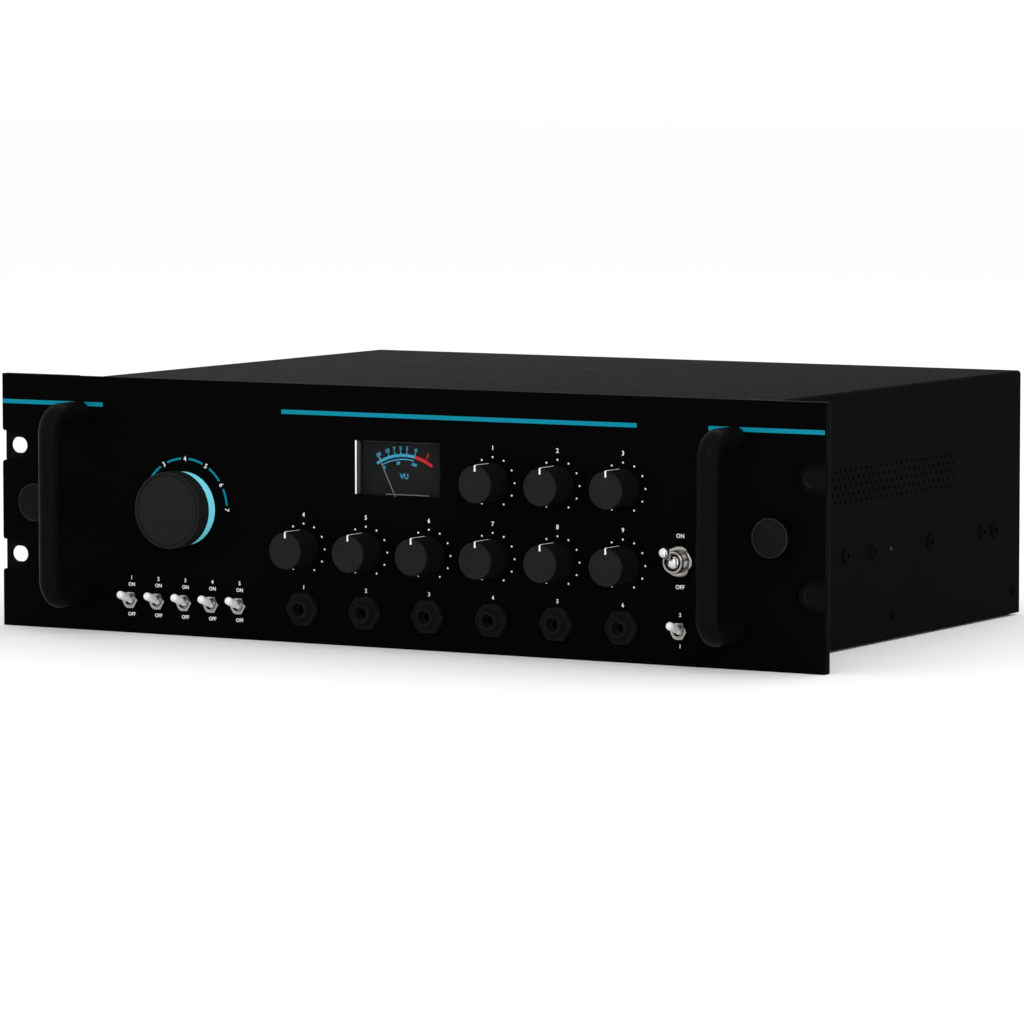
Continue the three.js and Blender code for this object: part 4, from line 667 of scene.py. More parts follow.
def make_panel():
    high = extent("front_panel")[1]
    plate = Form().prism(panel_outline(high.x, high.z), (0, high.y, 0), sizes().panel_edge)
    bores = [(centre_of(node), BORES["pot"]) for node in knob_nodes()]
    bores += [(Vector((x, 0, JACK_LEVEL)), BORES["jack"]) for x in jack_places()]
    bores += switch_places()
    bores.append((centre_of("mode_knob"), BORES["mode"]))
    bores += [(centre_of(node), BORES["lock"]) for node in ("lock_left", "lock_right")]
    holes = Form()
    for place, radius in bores:
        holes.rod((place.x, 0, place.z), OUTWARD, radius, -high.y - OVERRUN, OVERRUN, 24)
    left, right = extent("vu_meter_cover")
    holes.block((left.x - METER_GAP, -OVERRUN, left.z - METER_GAP),
                (right.x + METER_GAP, high.y + OVERRUN, right.z + METER_GAP))
    plate.combine(holes)
    plate.done("panel_plate", "drawer", "black_panel", "panel", ["front_panel"])


class PANEL_OT_plate(bpy.types.Operator):
    """Front panel with its notches, holes and rounded edges."""

    bl_idname = "tape_echo.panel"
    bl_label = "Front panel"

    def execute(self, context):
        make_panel()
        return {"FINISHED"}


# Print, its words given as text, height above the panel's bottom edge, and size
STRIPE_SPANS = ((-241, -178.2), (-68.9, 137.3), (177.3, 241))
DOTS_A_SIDE, DOT_STEP = 5, math.radians(30)
MODE_POSITIONS = 7
MODE_STEP = math.radians(30)
MODE_GAP = math.radians(5.2)
MODE_BAND_HALF = 0.55
MODE_NUMBER = 2.6
MODE_WEIGHT = 0.04
KNOB_NUMBER_RISE, KNOB_NUMBER = 17.2, 2.3
JACK_NUMBER_LEVEL, JACK_NUMBER = 28.7, 2.1
TOGGLE_NUMBER_LEVEL, TOGGLE_NUMBER = 28.8, 2.0
TOGGLE_WORDS = (("ON", 25.3, 1.9), ("OFF", 9.8, 1.9))
OUTPUT_WORDS = (("2", 25.4, 1.9), ("1", 9.8, 1.9))
POWER_WORDS = (("ON", 64.4, 2.1), ("OFF", 39.1, 2.1))
WORD_WEIGHT = 0.05


def make_teal_print():
    size = sizes()
    stripe = Form()
    bottom = size.stripe_level - size.stripe_height / 2
    top = size.stripe_level + size.stripe_height / 2
    for left, right in STRIPE_SPANS:
        stripe.block((left, -INK, bottom), (right, 0, top))
    mode = centre_of("mode_knob")
    inner, outer = size.mode_ring - MODE_BAND_HALF, size.mode_ring + MODE_BAND_HALF
    for i in range(MODE_POSITIONS - 1):
        angle = -QUARTER + i * MODE_STEP
        stripe.band(mode.x, mode.z, inner, outer,
                    angle + MODE_GAP, angle + MODE_STEP - MODE_GAP, 0, INK)
    stripe.done("print_teal", "drawer", "black_panel", "stripe")


def plain_words():
    """Text, place and size of every number and word that stands upright."""
    words = []
    for number, node in enumerate(sorted(knob_nodes(), key=lambda node: "lower" in node), 1):
        place = centre_of(node)
        words.append((str(number), place.x, place.z + KNOB_NUMBER_RISE, KNOB_NUMBER))
    for number, x in enumerate(jack_places(), 1):
        words.append((str(number), x, JACK_NUMBER_LEVEL, JACK_NUMBER))
    for i in range(1, 6):
        x = centre_of(f"lever_{i}").x
        words.append((str(i), x, TOGGLE_NUMBER_LEVEL, TOGGLE_NUMBER))
        words += [(word, x, z, height) for word, z, height in TOGGLE_WORDS]
    for node, rows in (("lever_level", OUTPUT_WORDS), ("lever_power", POWER_WORDS)):
        x = centre_of(node).x
        words += [(word, x, z, height) for word, z, height in rows]
    return words


def make_white_print():
    size = sizes()
    white = Form()
    for node in knob_nodes():
        place = centre_of(node)
        for i in range(-DOTS_A_SIDE, DOTS_A_SIDE + 1):
            angle = DOT_STEP * i
            x = place.x + size.dial_ring * math.sin(angle)
            z = place.z + size.dial_ring * math.cos(angle)
            white.rod((x, 0, z), OUTWARD, size.dial_dot, 0, INK, 14)
    mode = centre_of("mode_knob")
    for i in range(MODE_POSITIONS):
        angle = -QUARTER + i * MODE_STEP
        x = mode.x + size.mode_ring * math.sin(angle)
        z = mode.z + size.mode_ring * math.cos(angle)
        white.words(str(i + 1), x, z, MODE_NUMBER, turned=angle, heavy=MODE_WEIGHT)
    for word, x, z, height in plain_words():
        white.words(word, x, z, height, heavy=WORD_WEIGHT)
    white.done("print_white", "drawer", "black_panel", "ink")


class PANEL_OT_print(bpy.types.Operator):
    """Stripe, dots, numbers and ON and OFF on the panel."""

    bl_idname = "tape_echo.print"
    bl_label = "Print"

    def execute(self, context):
        make_teal_print()
        make_white_print()
        return {"FINISHED"}


# Knobs, their profiles given as (radius, advance out of the panel)
FLUTES = 12
FLUTE_STEPS = 8


def fluted(form, x, z, stations, flutes=FLUTES, stand=None):
    """Rings of (radius, flute depth, advance) joined into one closed grip."""
    segments = FLUTE_STEPS * flutes
    first = bmesh.ops.create_circle(form.bm, segments=segments, radius=1)["verts"]
    before = set(form.bm.verts) - set(first)
    lines = [line for line in form.bm.edges if line.verts[0] in first]
    angles = {vert: math.atan2(vert.co.y, vert.co.x) for vert in first}

    def shape(verts, radius, depth, advance):
        for vert in verts:
            angle = angles[vert]
            r = radius - depth * (0.5 - 0.5 * math.cos(flutes * angle)) ** 2
            vert.co = (x + r * math.sin(angle), -advance, z + r * math.cos(angle))

    shape(first, *stations[0])
    bmesh.ops.contextual_create(form.bm, geom=lines)
    for station in stations[1:]:
        made = bmesh.ops.extrude_edge_only(form.bm, edges=lines)["geom"]
        verts = points_of(made)
        lines = ring_of(made, verts)
        known = list(angles)
        for vert in verts:
            near = [line.other_vert(vert) for line in vert.link_edges]
            old = next(other for other in near if other in angles and other not in verts)
            angles[vert] = angles[old]
        for old in known:
            if old not in verts:
                angles.pop(old)
        shape(verts, *station)
    bmesh.ops.contextual_create(form.bm, geom=lines)
    if stand:
        fresh = [vert for vert in form.bm.verts if vert not in before]
        bmesh.ops.transform(form.bm, matrix=stand, verts=fresh)


def make_knob(node):
    size = sizes()
    place = centre_of(node)
    low, high = extent(node)
    face = -low.y
    depth = size.flute_depth
    form = Form()
    fluted(form, place.x, place.z, [
        (3.0, 0, -high.y), (3.0, 0, 5.8), (6.2, 0, 5.8), (6.2, 0, 0.8),
        (9.55, 0, 0.8), (9.7, 0, 1.0), (9.7, 0, 1.9), (9.68, depth * 0.5, 2.1), (9.7, depth, 2.6),
        (9.7, depth, face - 1.2), (9.68, depth * 0.7, face - 0.7), (9.5, depth * 0.25, face - 0.3),
        (9.3, 0, face - 0.12), (9.22, 0, face - 0.5),
    ])
    # The fluted side takes the darker grip black: painted shade
    form.done(node + "_grip", node, "black_plastic", "grip", [node], 40)
    cap = Form().turn([
        (0, face - 0.9), (9.2, face - 0.9), (9.2, face - 0.05), (9.0, face), (8.2, face),
        (8.0, face - 0.1), (7.8, face - 0.3), (0, face - 0.34),
    ], (place.x, 0, place.z), steps=64)
    cap.done(node + "_face", node, "black_plastic", "knob")
    half = size.pointer_width / 2
    side_view = [(-face + 0.32, 6.5), (-face - 0.03, 6.5), (-face - 0.03, 9.2), (-face + 0.35, 9.62),
                 (-face + 1.1, 9.76), (-4.2, 9.76), (-4.2, 9.3), (-face + 0.9, 9.3), (-face + 0.32, 8.9)]
    line = [(place.x - half, y, place.z + rise) for y, rise in side_view]
    pointer = Form().prism(line, (size.pointer_width, 0, 0), 0.06, 1)
    pointer.done(node + "_pointer", node, "black_plastic", "ink")


class KNOBS_OT_small(bpy.types.Operator):
    """Fluted knobs with a white line."""

    bl_idname = "tape_echo.knobs"
    bl_label = "Knobs"

    def execute(self, context):
        for node in knob_nodes():
            make_knob(node)
        return {"FINISHED"}


def make_mode_knob():
    place = centre_of("mode_knob")
    low, high = extent("mode_knob")
    face, radius = -low.y, (high.x - low.x) / 2
    centre = (place.x, 0, place.z)
    cap = Form().turn([
        (0, face - 0.3), (radius - 2.3, face - 0.3), (radius - 2.1, face - 0.4),
        (radius - 1.9, face - 0.75), (radius - 1.45, face - 0.75), (radius - 1.3, face - 0.2),
        (radius - 1.1, face), (radius - 0.6, face), (radius - 0.2, face - 0.15), (radius, face - 0.6),
        (radius, 8.2), (radius - 0.3, 7.8), (8, 7.8), (8, 3.3), (3, 3.3), (3, -high.y), (0, -high.y),
    ], centre, steps=128)
    cap.done("mode_knob_cap", "mode_knob", "black_plastic", "knob", ["mode_knob"])
    ring_low, ring_high = extent("mode_knob_ring")
    ring = (ring_high.x - ring_low.x) / 2
    # The collar's finish glows and is lighter than its own cyan: painted light
    collar = Form().turn([
        (8.3, 7.5), (ring - 0.3, 7.5), (ring, 7.2), (ring, 1.2), (ring - 0.4, 0.8), (12, 0.8), (12, 6),
        (8.3, 6),
    ], centre, steps=128, closed=True)
    collar.done("mode_knob_collar", "mode_knob", "cyan_plastic", "accent", ["mode_knob_ring"])
    half = sizes().pointer_width * 0.6
    left = place.x - radius
    line = [(x, y, place.z - half) for x, y in ((left - 0.03, -face + 0.7), (left + 0.6, -face + 0.7),
                                                (left + 0.6, -8.6), (left - 0.03, -8.6))]
    pointer = Form().prism(line, (0, 0, 2 * half), 0.05, 1)
    pointer.done("mode_knob_pointer", "mode_knob", "black_plastic", "ink")


class KNOBS_OT_mode(bpy.types.Operator):
    """Large mode knob with its raised rim and cyan collar."""

    bl_idname = "tape_echo.mode_knob"
    bl_label = "Mode knob"

    def execute(self, context):
        make_mode_knob()
        return {"FINISHED"}


# Handles and locks
def bar_advance(form, lines, way):
    """Pushes an open ring of edges along a way and returns the new ring."""
    made = bmesh.ops.extrude_edge_only(form.bm, edges=lines)["geom"]
    verts = points_of(made)
    bmesh.ops.translate(form.bm, verts=verts, vec=way)
    return ring_of(made, verts)


def bar_bend(form, lines, centre, angle):
    """Bends an open ring of edges about a line across the panel and returns the new ring."""
    verts = list({vert for line in lines for vert in line.verts})
    made = bmesh.ops.spin(form.bm, geom=verts + lines, cent=centre, axis=ACROSS, angle=angle, steps=14,
                          use_duplicate=False)["geom_last"]
    return ring_of(made, points_of(made))


def make_handle(node):
    size = sizes()
    low, high = extent(node)
    radius, bend = size.handle_radius, size.handle_bend
    half = (high.x - low.x) / 2
    x = (low.x + high.x) / 2
    foot, reach = high.y, low.y + half
    bottom, top = low.z + half, high.z - half
    form = Form()
    circle = bmesh.ops.create_circle(form.bm, segments=32, radius=radius)["verts"]
    bmesh.ops.rotate(form.bm, verts=circle, cent=(0, 0, 0), matrix=Matrix.Rotation(QUARTER, 3, "X"))
    bmesh.ops.translate(form.bm, verts=circle, vec=(x, foot, bottom))
    lines = list(form.bm.edges)
    bmesh.ops.contextual_create(form.bm, geom=lines)
    lines = bar_advance(form, lines, (0, reach + bend - foot, 0))
    lines = bar_bend(form, lines, (x, reach + bend, bottom + bend), -QUARTER)
    lines = bar_advance(form, lines, (0, 0, top - bottom - 2 * bend))
    lines = bar_bend(form, lines, (x, reach + bend, top - bend), -QUARTER)
    lines = bar_advance(form, lines, (0, foot - reach - bend, 0))
    bmesh.ops.contextual_create(form.bm, geom=lines)
    form.done(node + "_bar", "drawer", "black_bar", "bar", [node])


def make_lock(node):
    low, high = extent(node)
    place = (low + high) / 2
    front, radius = -low.y, (high.x - low.x) / 2
    centre = (place.x, 0, place.z)
    form = Form().turn([
        (0, front - 1.2), (radius - 0.2, front - 1.2), (radius, front - 1.4), (radius, 0.6),
        (radius - 0.3, 0.3), (3, 0.3), (3, -high.y + 0.7), (2.3, -high.y), (0, -high.y),
    ], centre, steps=64)
    # The button's side takes the darker panel black, not the lock plastic: painted shade
    form.done(node + "_button", node, "black_plastic", "panel", [node])
    disc = Form().rod(centre, OUTWARD, radius - 0.75, front - 1.1, front - 0.12, 64, 0.1)
    disc.done(node + "_face", node, "black_plastic", "lock")
    # The rim's lighter grey is a painted highlight along the bevel
    rim = Form().tube(centre, OUTWARD, radius - 0.7, radius, front - 1.15, front, 64, 0.25)
    rim.done(node + "_rim", node, "black_plastic", "rim")


class GRIPS_OT_handles(bpy.types.Operator):
    """Bar handles and the two round locks."""

    bl_idname = "tape_echo.handles"
    bl_label = "Handles and locks"

    def execute(self, context):
        for side in ("left", "right"):
            make_handle(f"handle_{side}")
            make_lock(f"lock_{side}")
        return {"FINISHED"}


# Toggle switches; a thread is given as radius, pitch, start, end and bore
THREAD_DEPTH = 0.25
SMALL_THREAD = (3, 0.5, -3.3, 3.2, 2.45)
POWER_THREAD = (5.8, 0.8, -3.3, 8.4, 4.4)
JACK_THREAD = (5.4, 0.7, -3.3, 6, 3.2)
POT_THREAD = (4.4, 0.6, -3.4, 2.6, 3.45)
LEVER_TILT, POWER_TILT = 20, 27
LEVER_PIVOT, POWER_PIVOT = -1.2, -6.0


def threaded(radius, pitch, start, end, bore):
    """Profile of a threaded bushing with a bore."""
    profile = [(bore, start), (radius - THREAD_DEPTH, start)]
    count = int((end - start - 0.6) / pitch)
    for i in range(count):
        along = start + 0.2 + i * pitch
        profile += [(radius, along + pitch * 0.3), (radius - THREAD_DEPTH, along + pitch * 0.8)]
    profile += [(radius - 0.3, end - 0.2), (radius - 0.6, end), (bore + 0.3, end), (bore, end - 0.3)]
    return profile


def ball_profile(ball, neck, steps=8):
    """The ball of a lever, from its far pole to the neck."""
    end = math.pi - math.asin(neck / ball)
    turns = [end * i / steps for i in range(steps + 1)]
    return [(ball * math.sin(turn), -ball * math.cos(turn)) for turn in turns]


def place_lever(node, profile, pivot, tilt, finish):
    """Spins a lever and tilts it as its node is."""
    profile[0] = (0, profile[0][1])
    form = Form().turn(profile, (0, 0, 0), OUTWARD, 32)
    form.move(Matrix.Translation(pivot) @ Matrix.Rotation(math.radians(-tilt), 4, "X"))
    slot = "chrome" if node == "lever_power" else "white_lever"
    form.done(node + "_stick", node, slot, finish, [node])


def make_small_lever(node, pivot):
    """A short lever with a thick round-ended sleeve."""
    reach, sleeve, neck = 12, 2.05, 1.1
    profile = ball_profile(1.85, neck)
    profile += [(neck, 3.5), (sleeve - 0.45, 3.5), (sleeve - 0.1, 3.75), (sleeve, 4.2)]
    profile += sweep((0, reach - sleeve), sleeve, 0, QUARTER, 8)
    profile[-1] = (0, reach)
    place_lever(node, profile, pivot, LEVER_TILT, "satin")


def make_power_lever(pivot):
    """A slim lever with a ball at its tip."""
    reach, tip, neck = 15, 2.8, 1.3
    profile = ball_profile(3.9, neck)
    profile += sweep((0, reach - tip), tip, -math.acos((neck + 0.3) / tip), QUARTER, 14)
    profile[-1] = (0, reach)
    place_lever("lever_power", profile, pivot, POWER_TILT, "chrome")


def make_small_switches():
    places = [place for place, _ in switch_places()[:-1]]
    groups = (("toggles", "switch_board", places[:-1]), ("level", "level_switch", places[-1:]))
    for word, node, spots in groups:
        low, high = extent(node)
        nuts, bushings, bodies, feet = Form(), Form(), Form(), Form()
        for place in spots:
            nuts.hexagon(place.x, place.z, 8, 0.3, 2.3, 3.02, 0.35)
            bushings.turn(threaded(*SMALL_THREAD), (place.x, 0, place.z), steps=32, closed=True)
            bodies.block((place.x - 4, 3.3, place.z - 6.5), (place.x + 4, 12.2, place.z + 6.5), 0.5)
            feet.block((place.x - 4.15, 3.4, place.z - 6.65), (place.x + 4.15, 5, place.z + 6.65), 0.2)
        nuts.done(word + "_nuts", "drawer", "chrome", "nickel", [node])
        bushings.done(word + "_bushings", "drawer", "chrome", "nickel")
        bodies.done(word + "_bodies", "drawer", "dial", "housing")
        feet.done(word + "_frames", "drawer", "chrome", "zinc")
        if node == "switch_board":
            board = Form().block((low.x, 12.3, low.z), (high.x, high.y, high.z), 0.2, 1)
            board.done("toggles_board", "drawer", "circuit_board", "circuit")
    for name, place in zip(("1", "2", "3", "4", "5", "level"), places):
        make_small_lever(f"lever_{name}", (place.x, LEVER_PIVOT, place.z))


def make_power_switch():
    place = switch_places()[-1][0]
    centre = (place.x, 0, place.z)
    back = extent("power_switch")[1].y
    nut = Form().hexagon(place.x, place.z, 14.6, 0.3, 3.5, 5.85, 0.8, 0.93)
    nut.done("power_nut", "drawer", "chrome", "nickel", ["power_switch"])
    bushing = Form().turn(threaded(*POWER_THREAD), centre, steps=48, closed=True)
    bushing.done("power_bushing", "drawer", "chrome", "nickel")
    body = Form().block((place.x - 8, 3.6, place.z - 13.5), (place.x + 8, back, place.z + 13.5), 0.8)
    body.done("power_body", "drawer", "dial", "housing")
    plate = Form().block((place.x - 8.2, 3.3, place.z - 13.7), (place.x + 8.2, 4.2, place.z + 13.7), 0.2)
    plate.done("power_frame", "drawer", "chrome", "zinc")
    make_power_lever((place.x, POWER_PIVOT, place.z))


class SWITCHES_OT_toggles(bpy.types.Operator):
    """Toggle switches with nuts, threaded bushings and levers."""

    bl_idname = "tape_echo.switches"
    bl_label = "Toggle switches"

    def execute(self, context):
        make_small_switches()
        make_power_switch()
        return {"FINISHED"}


# Jacks
def make_jacks():
    level = JACK_LEVEL
    low, high = extent("jack_board")
    nuts, bushings, bodies, tips, cutters = Form(), Form(), Form(), Form(), Form()
    for x in jack_places():
        centre = (x, 0, level)
        nuts.hexagon(x, level, 16, 0.9, 2.9, 5.45, 0.7)
        nuts.tube(centre, OUTWARD, 5.5, 8.6, 0.3, 0.85, 48, 0.1)
        bushings.turn(threaded(*JACK_THREAD), centre, steps=48, closed=True)
        bodies.block((x - 7.5, 3.3, level - 9), (x + 7.5, high.y - 2, level + 9), 0.8)
        tips.tube(centre, OUTWARD, 2.9, 3.18, -3, 0.5, 32)
        cutters.rod(centre, OUTWARD, 3.2, -24, 4, 32)
    bodies.combine(cutters)
    nuts.done("jack_nuts", "drawer", "dark_plastic", "nylon", ["jack_board"])
    bushings.done("jack_bushings", "drawer", "dark_plastic", "nylon")
    bodies.done("jack_bodies", "drawer", "dark_plastic", "housing")
    tips.done("jack_sleeves", "drawer", "chrome", "chrome")
    board = Form().block((low.x, high.y - 1.6, low.z), (high.x, high.y, high.z), 0.2, 1)
    board.done("jack_board_plate", "drawer", "circuit_board", "circuit")


class JACKS_OT_row(bpy.types.Operator):
    """Row of jack sockets with black nuts."""

    bl_idname = "tape_echo.jacks"
    bl_label = "Jack sockets"

    def execute(self, context):
        make_jacks()
        return {"FINISHED"}


# Level meter, its angles in degrees clockwise from the top
METER_PIVOT = (-0.7, 68)
METER_ARC = 30
METER_SPAN = (-32.5, 34)
INNER_LINE_START = -28.5
RED_START = 12.2
MARK_HALF = 0.009
UPPER_MARKS = (("20", -27), ("10", -17), ("7", -10), ("5", -3.5), ("3", 3), ("0", RED_START), ("3", 25))
LOWER_MARKS = (("0", -26), ("50", -7.5), ("100", 13.5))
NEEDLE_LEAN = math.radians(-26)
NEEDLE_REACH = 33.5
NEEDLE_HALF = 0.13


def make_scale(back):
    """The meter's print, on a plane a distance out of the panel's face."""
    px, pz = METER_PIVOT
    front = back + INK
    start, end, red_start = (math.radians(angle) for angle in (*METER_SPAN, RED_START))
    blue, red = Form(), Form()

    def word(form, label, radius, spot, height, heavy):
        form.words(label, px + radius * math.sin(spot), pz + radius * math.cos(spot),
                   height, front, back, spot, heavy)

    blue.band(px, pz, METER_ARC - 1.1, METER_ARC + 0.3, start, red_start, back, front, 24)
    blue.band(px, pz, METER_ARC - 2.65, METER_ARC - 2.15, math.radians(INNER_LINE_START), red_start,
              back, front, 24)
    red.band(px, pz, METER_ARC - 1.2, METER_ARC + 0.35, red_start, end, back, front, 16)
    for label, angle in UPPER_MARKS:
        form = red if angle > RED_START else blue
        spot = math.radians(angle)
        form.band(px, pz, METER_ARC - 1.1, METER_ARC + 1.5, spot - MARK_HALF, spot + MARK_HALF,
                  back, front, 1)
        word(form, label, METER_ARC + 3.1, spot, 2.1, 0.07)
    for label, angle in LOWER_MARKS:
        word(blue, label, METER_ARC - 4.2, math.radians(angle), 1.6, 0.05)
    blue.words("VU", px, 87, 2.8, front, back, 0, 0.06)
    blue.done("meter_scale", "drawer", "dial", "scale")
    red.done("meter_overload", "drawer", "dial", "overload")


def make_meter():
    low, high = extent("vu_meter_cover")
    dial = extent("vu_needle")[1].y + 0.3
    cover = Form().block(low, high, 0.35)
    cover.combine(Form().block((low.x + 1.2, 1.2, low.z + 1.2),
                               (high.x - 1.2, high.y + OVERRUN, high.z - 1.2), 0.3))
    cover.combine(Form().block((low.x - OVERRUN, 4.2, low.z - OVERRUN),
                               (high.x + OVERRUN, high.y + OVERRUN, low.z + 2.2)))
    cover.done("meter_window", "drawer", "clear", "pane", ["vu_meter_cover"])
    make_scale(-dial)

    # Pale strip at the left wall: a painted highlight for light in the clear cover's wall
    light = Form().block((low.x + 0.1, -0.05, low.z + 0.4), (low.x + 0.95, 0.4, high.z - 0.4), 0.08)
    light.done("meter_lens", "drawer", "dial", "glow")
    # Grey strips along the window's inner edges: painted highlights on the clear cover's edges
    rim = Form().block((low.x + 1.3, 0.6, low.z + 0.7), (low.x + 1.6, 3.0, high.z - 0.7), 0.08)
    rim.block((high.x - 0.9, 3.5, low.z + 0.7), (high.x - 0.6, dial - 0.1, high.z - 0.7), 0.1)
    rim.block((low.x + 1.3, 4.5, high.z - 1.0), (high.x - 0.6, dial - 0.1, high.z - 0.75), 0.08)
    rim.done("meter_frame", "drawer", "dial", "frame")
    # Pale grey strip at the bottom of the window: a painted highlight on a lit edge
    bottom_highlight = Form().block((-10.9, dial - 1.2, low.z + 0.2), (14.3, dial - 0.1, low.z + 0.5), 0.08)
    bottom_highlight.done("meter_stop", "drawer", "dial", "grey")


def make_needle():
    back = extent("vu_needle")[1].y
    low, high = extent("vu_meter_cover")
    px = (low.x + high.x) / 2 - 0.45
    half, reach = NEEDLE_HALF, NEEDLE_REACH
    outline = ((-half, -4), (half, -4), (half, reach - 3), (0, reach), (-half, reach - 3))
    bar = Form().prism([(x, back - 1.5, z) for x, z in outline], (0, 0.3, 0))
    bar.rod((0, 0, 0), OUTWARD, 2, -back, -back + 1.6, 32, 0.3)
    bar.move(Matrix.Translation((px, 0, METER_PIVOT[1])) @ Matrix.Rotation(NEEDLE_LEAN, 4, "Y"))
    bar.done("vu_needle_blade", "vu_needle", "white_lever", "grey", ["vu_needle"])


class METER_OT_level(bpy.types.Operator):
    """Level meter: window, scale, painted highlight strips and needle."""

    bl_idname = "tape_echo.meter"
    bl_label = "Level meter"

    def execute(self, context):
        make_meter()
        make_needle()
        return {"FINISHED"}


# Case
CASE_WALL = 1.5
VENT_ROWS, VENT_COLUMNS = 5, 25
VENT_FRONT, VENT_TOP = 87.5, 91
SLIDE_LEVEL = 47.6
SLIDE_SCREWS = (105.4, 136, 202.4, 265.25, 280.1)
CASE_PIN = 156
FLOOR_SCREWS = (159.4, 304.3)
FLOOR_SCREW_LEVEL = 13.7
EAR_FRONT, EAR_BACK = 3.3, 5.8
EAR_HOLE = 233.35
EAR_HOLE_RADIUS = 4.2
EAR_HOLE_HALF = 1.25


def make_case():
    size = sizes()
    low, high = extent("case_cover")
    half, wall, corner = high.x, CASE_WALL, size.case_corner
    right, centre, inner = half - corner, high.z - corner, corner - wall
    outline = [(-half, low.y, low.z)]
    outline += arc(-half + corner, centre, corner, math.pi, QUARTER, 6, low.y)
    outline += arc(right, centre, corner, QUARTER, 0, 6, low.y)
    outline += [(half, low.y, low.z), (half - wall, low.y, low.z)]
    outline += arc(right, centre, inner, 0, QUARTER, 3, low.y)
    outline += arc(-half + corner, centre, inner, QUARTER, math.pi, 3, low.y)
    outline.append((-half + wall, low.y, low.z))
    shell = Form().prism(outline, (0, high.y - low.y, 0), 0.15, 1)
    holes = Form()
    for row, column in product(range(VENT_ROWS), range(VENT_COLUMNS)):
        y = VENT_FRONT + (column + 0.5 * (row % 2)) * size.vent_pitch
        z = VENT_TOP - row * size.vent_rise
        holes.rod((0, y, z), ACROSS, size.vent_hole, -half - OVERRUN, half + OVERRUN, 12)
    shell.combine(holes)
    shell.done("case_sheet", "case", "black_case", "case", ["case_cover"])


# Screw heads: radius, height and size of the hexagon recess
HEADS = {
    "floor": (2.6, 1.2, 1.1), "rear": (2.6, 1.3, 1.1), "inlet": (1.6, 0.1, 0.6),
    "slide": (3, 1.6, 1.3), "panel": (2.4, 1.4, 1.0),
    "head": (1.3, 0.8, 0.55), "bridge": (2.3, 1.5, 1.0), "deck": (3, 1.8, 1.4),
    "deck_front": (2.2, 1.4, 1.0), "cover": (1.7, 1.0, 0.8), "motor": (2.6, 1.6, 1.2),
    "tank": (2, 1.2, 0.9), "board": (2.8, 1.8, 1.2),
}


def screw(form, centre, axis, sizing):
    """A pan-head screw with a hexagon recess."""
    radius, height, recess = sizing
    head = Form().turn([
        (0, 0), (radius, 0), (radius, height * 0.35), (radius * 0.93, height * 0.65),
        (radius * 0.75, height * 0.9), (radius * 0.5, height), (0, height),
    ], centre, axis, 28)
    turn_to = Vector(axis).to_track_quat("Z", "Y").to_matrix().to_4x4()
    corners = [(x, y, height * 0.35) for x, y in around((0, 0), recess, 6)]
    socket = Form().prism(corners, (0, 0, height)).move(Matrix.Translation(centre) @ turn_to)
    head.combine(socket)
    form.take(head)


def screw_rows(form, xs, ys, zs, axis, sizing):
    """Screws of one kind at every crossing of three lists of places."""
    for place in product(xs, ys, zs):
        screw(form, place, axis, sizing)


def make_case_screws():
    case_head = (sizes().screw_head, 1.6, 1.7)
    half = extent("case_cover")[1].x
    form, pins = Form(), Form()
    for side in SIDES:
        place, axis = [side * half], (side, 0, 0)
        screw_rows(form, place, SLIDE_SCREWS, [SLIDE_LEVEL], axis, case_head)
        screw_rows(form, place, FLOOR_SCREWS, [FLOOR_SCREW_LEVEL], axis, HEADS["floor"])
        pins.rod((side * half, CASE_PIN, SLIDE_LEVEL), axis, 1.2, -0.5, 0.5, 20, 0.15)
    form.done("case_screws", "case", "black_case", "case")
    pins.done("case_pins", "case", "steel", "rim")


def make_ear(node):
    low, high = extent(node)
    side = 1 if high.x > 0 else -1
    inner, reach = sorted((abs(low.x), abs(high.x)))
    lock = centre_of("lock_right").x

    def across(start, end):
        return sorted((side * start, side * end))

    left, right = across(inner, reach)
    plate = Form().block((left, EAR_FRONT, low.z), (right, EAR_BACK, high.z), 0.2)
    left, right = across(inner, inner + 2.2)
    plate.combine(Form().block((left, 3.5, 24.25), (right, high.y, 126.25), 0.2), "UNION")
    centre = (side * lock, 0, high.z / 2)
    plate.combine(Form().rod(centre, OUTWARD, 6, -12.8, -5, 40, 0.2), "UNION")
    cutters = Form().rod(centre, OUTWARD, 3.4, -14, 0, 32)
    for z in RACK_HOLES:
        middle = side * EAR_HOLE
        slot = arc(middle + EAR_HOLE_HALF, z, EAR_HOLE_RADIUS, -QUARTER, QUARTER, 12, 2)
        slot += arc(middle - EAR_HOLE_HALF, z, EAR_HOLE_RADIUS, QUARTER, 3 * QUARTER, 12, 2)
        cutters.prism(slot, (0, 6, 0))
    plate.combine(cutters)
    plate.done(node + "_plate", "case", "black_case", "ear", [node])


class CASE_OT_shell(bpy.types.Operator):
    """Case sheet with its vent holes, screws and ears."""

    bl_idname = "tape_echo.case"
    bl_label = "Case"

    def execute(self, context):
        make_case()
        make_case_screws()
        for side in ("left", "right"):
            make_ear(f"ear_bracket_{side}")
        return {"FINISHED"}


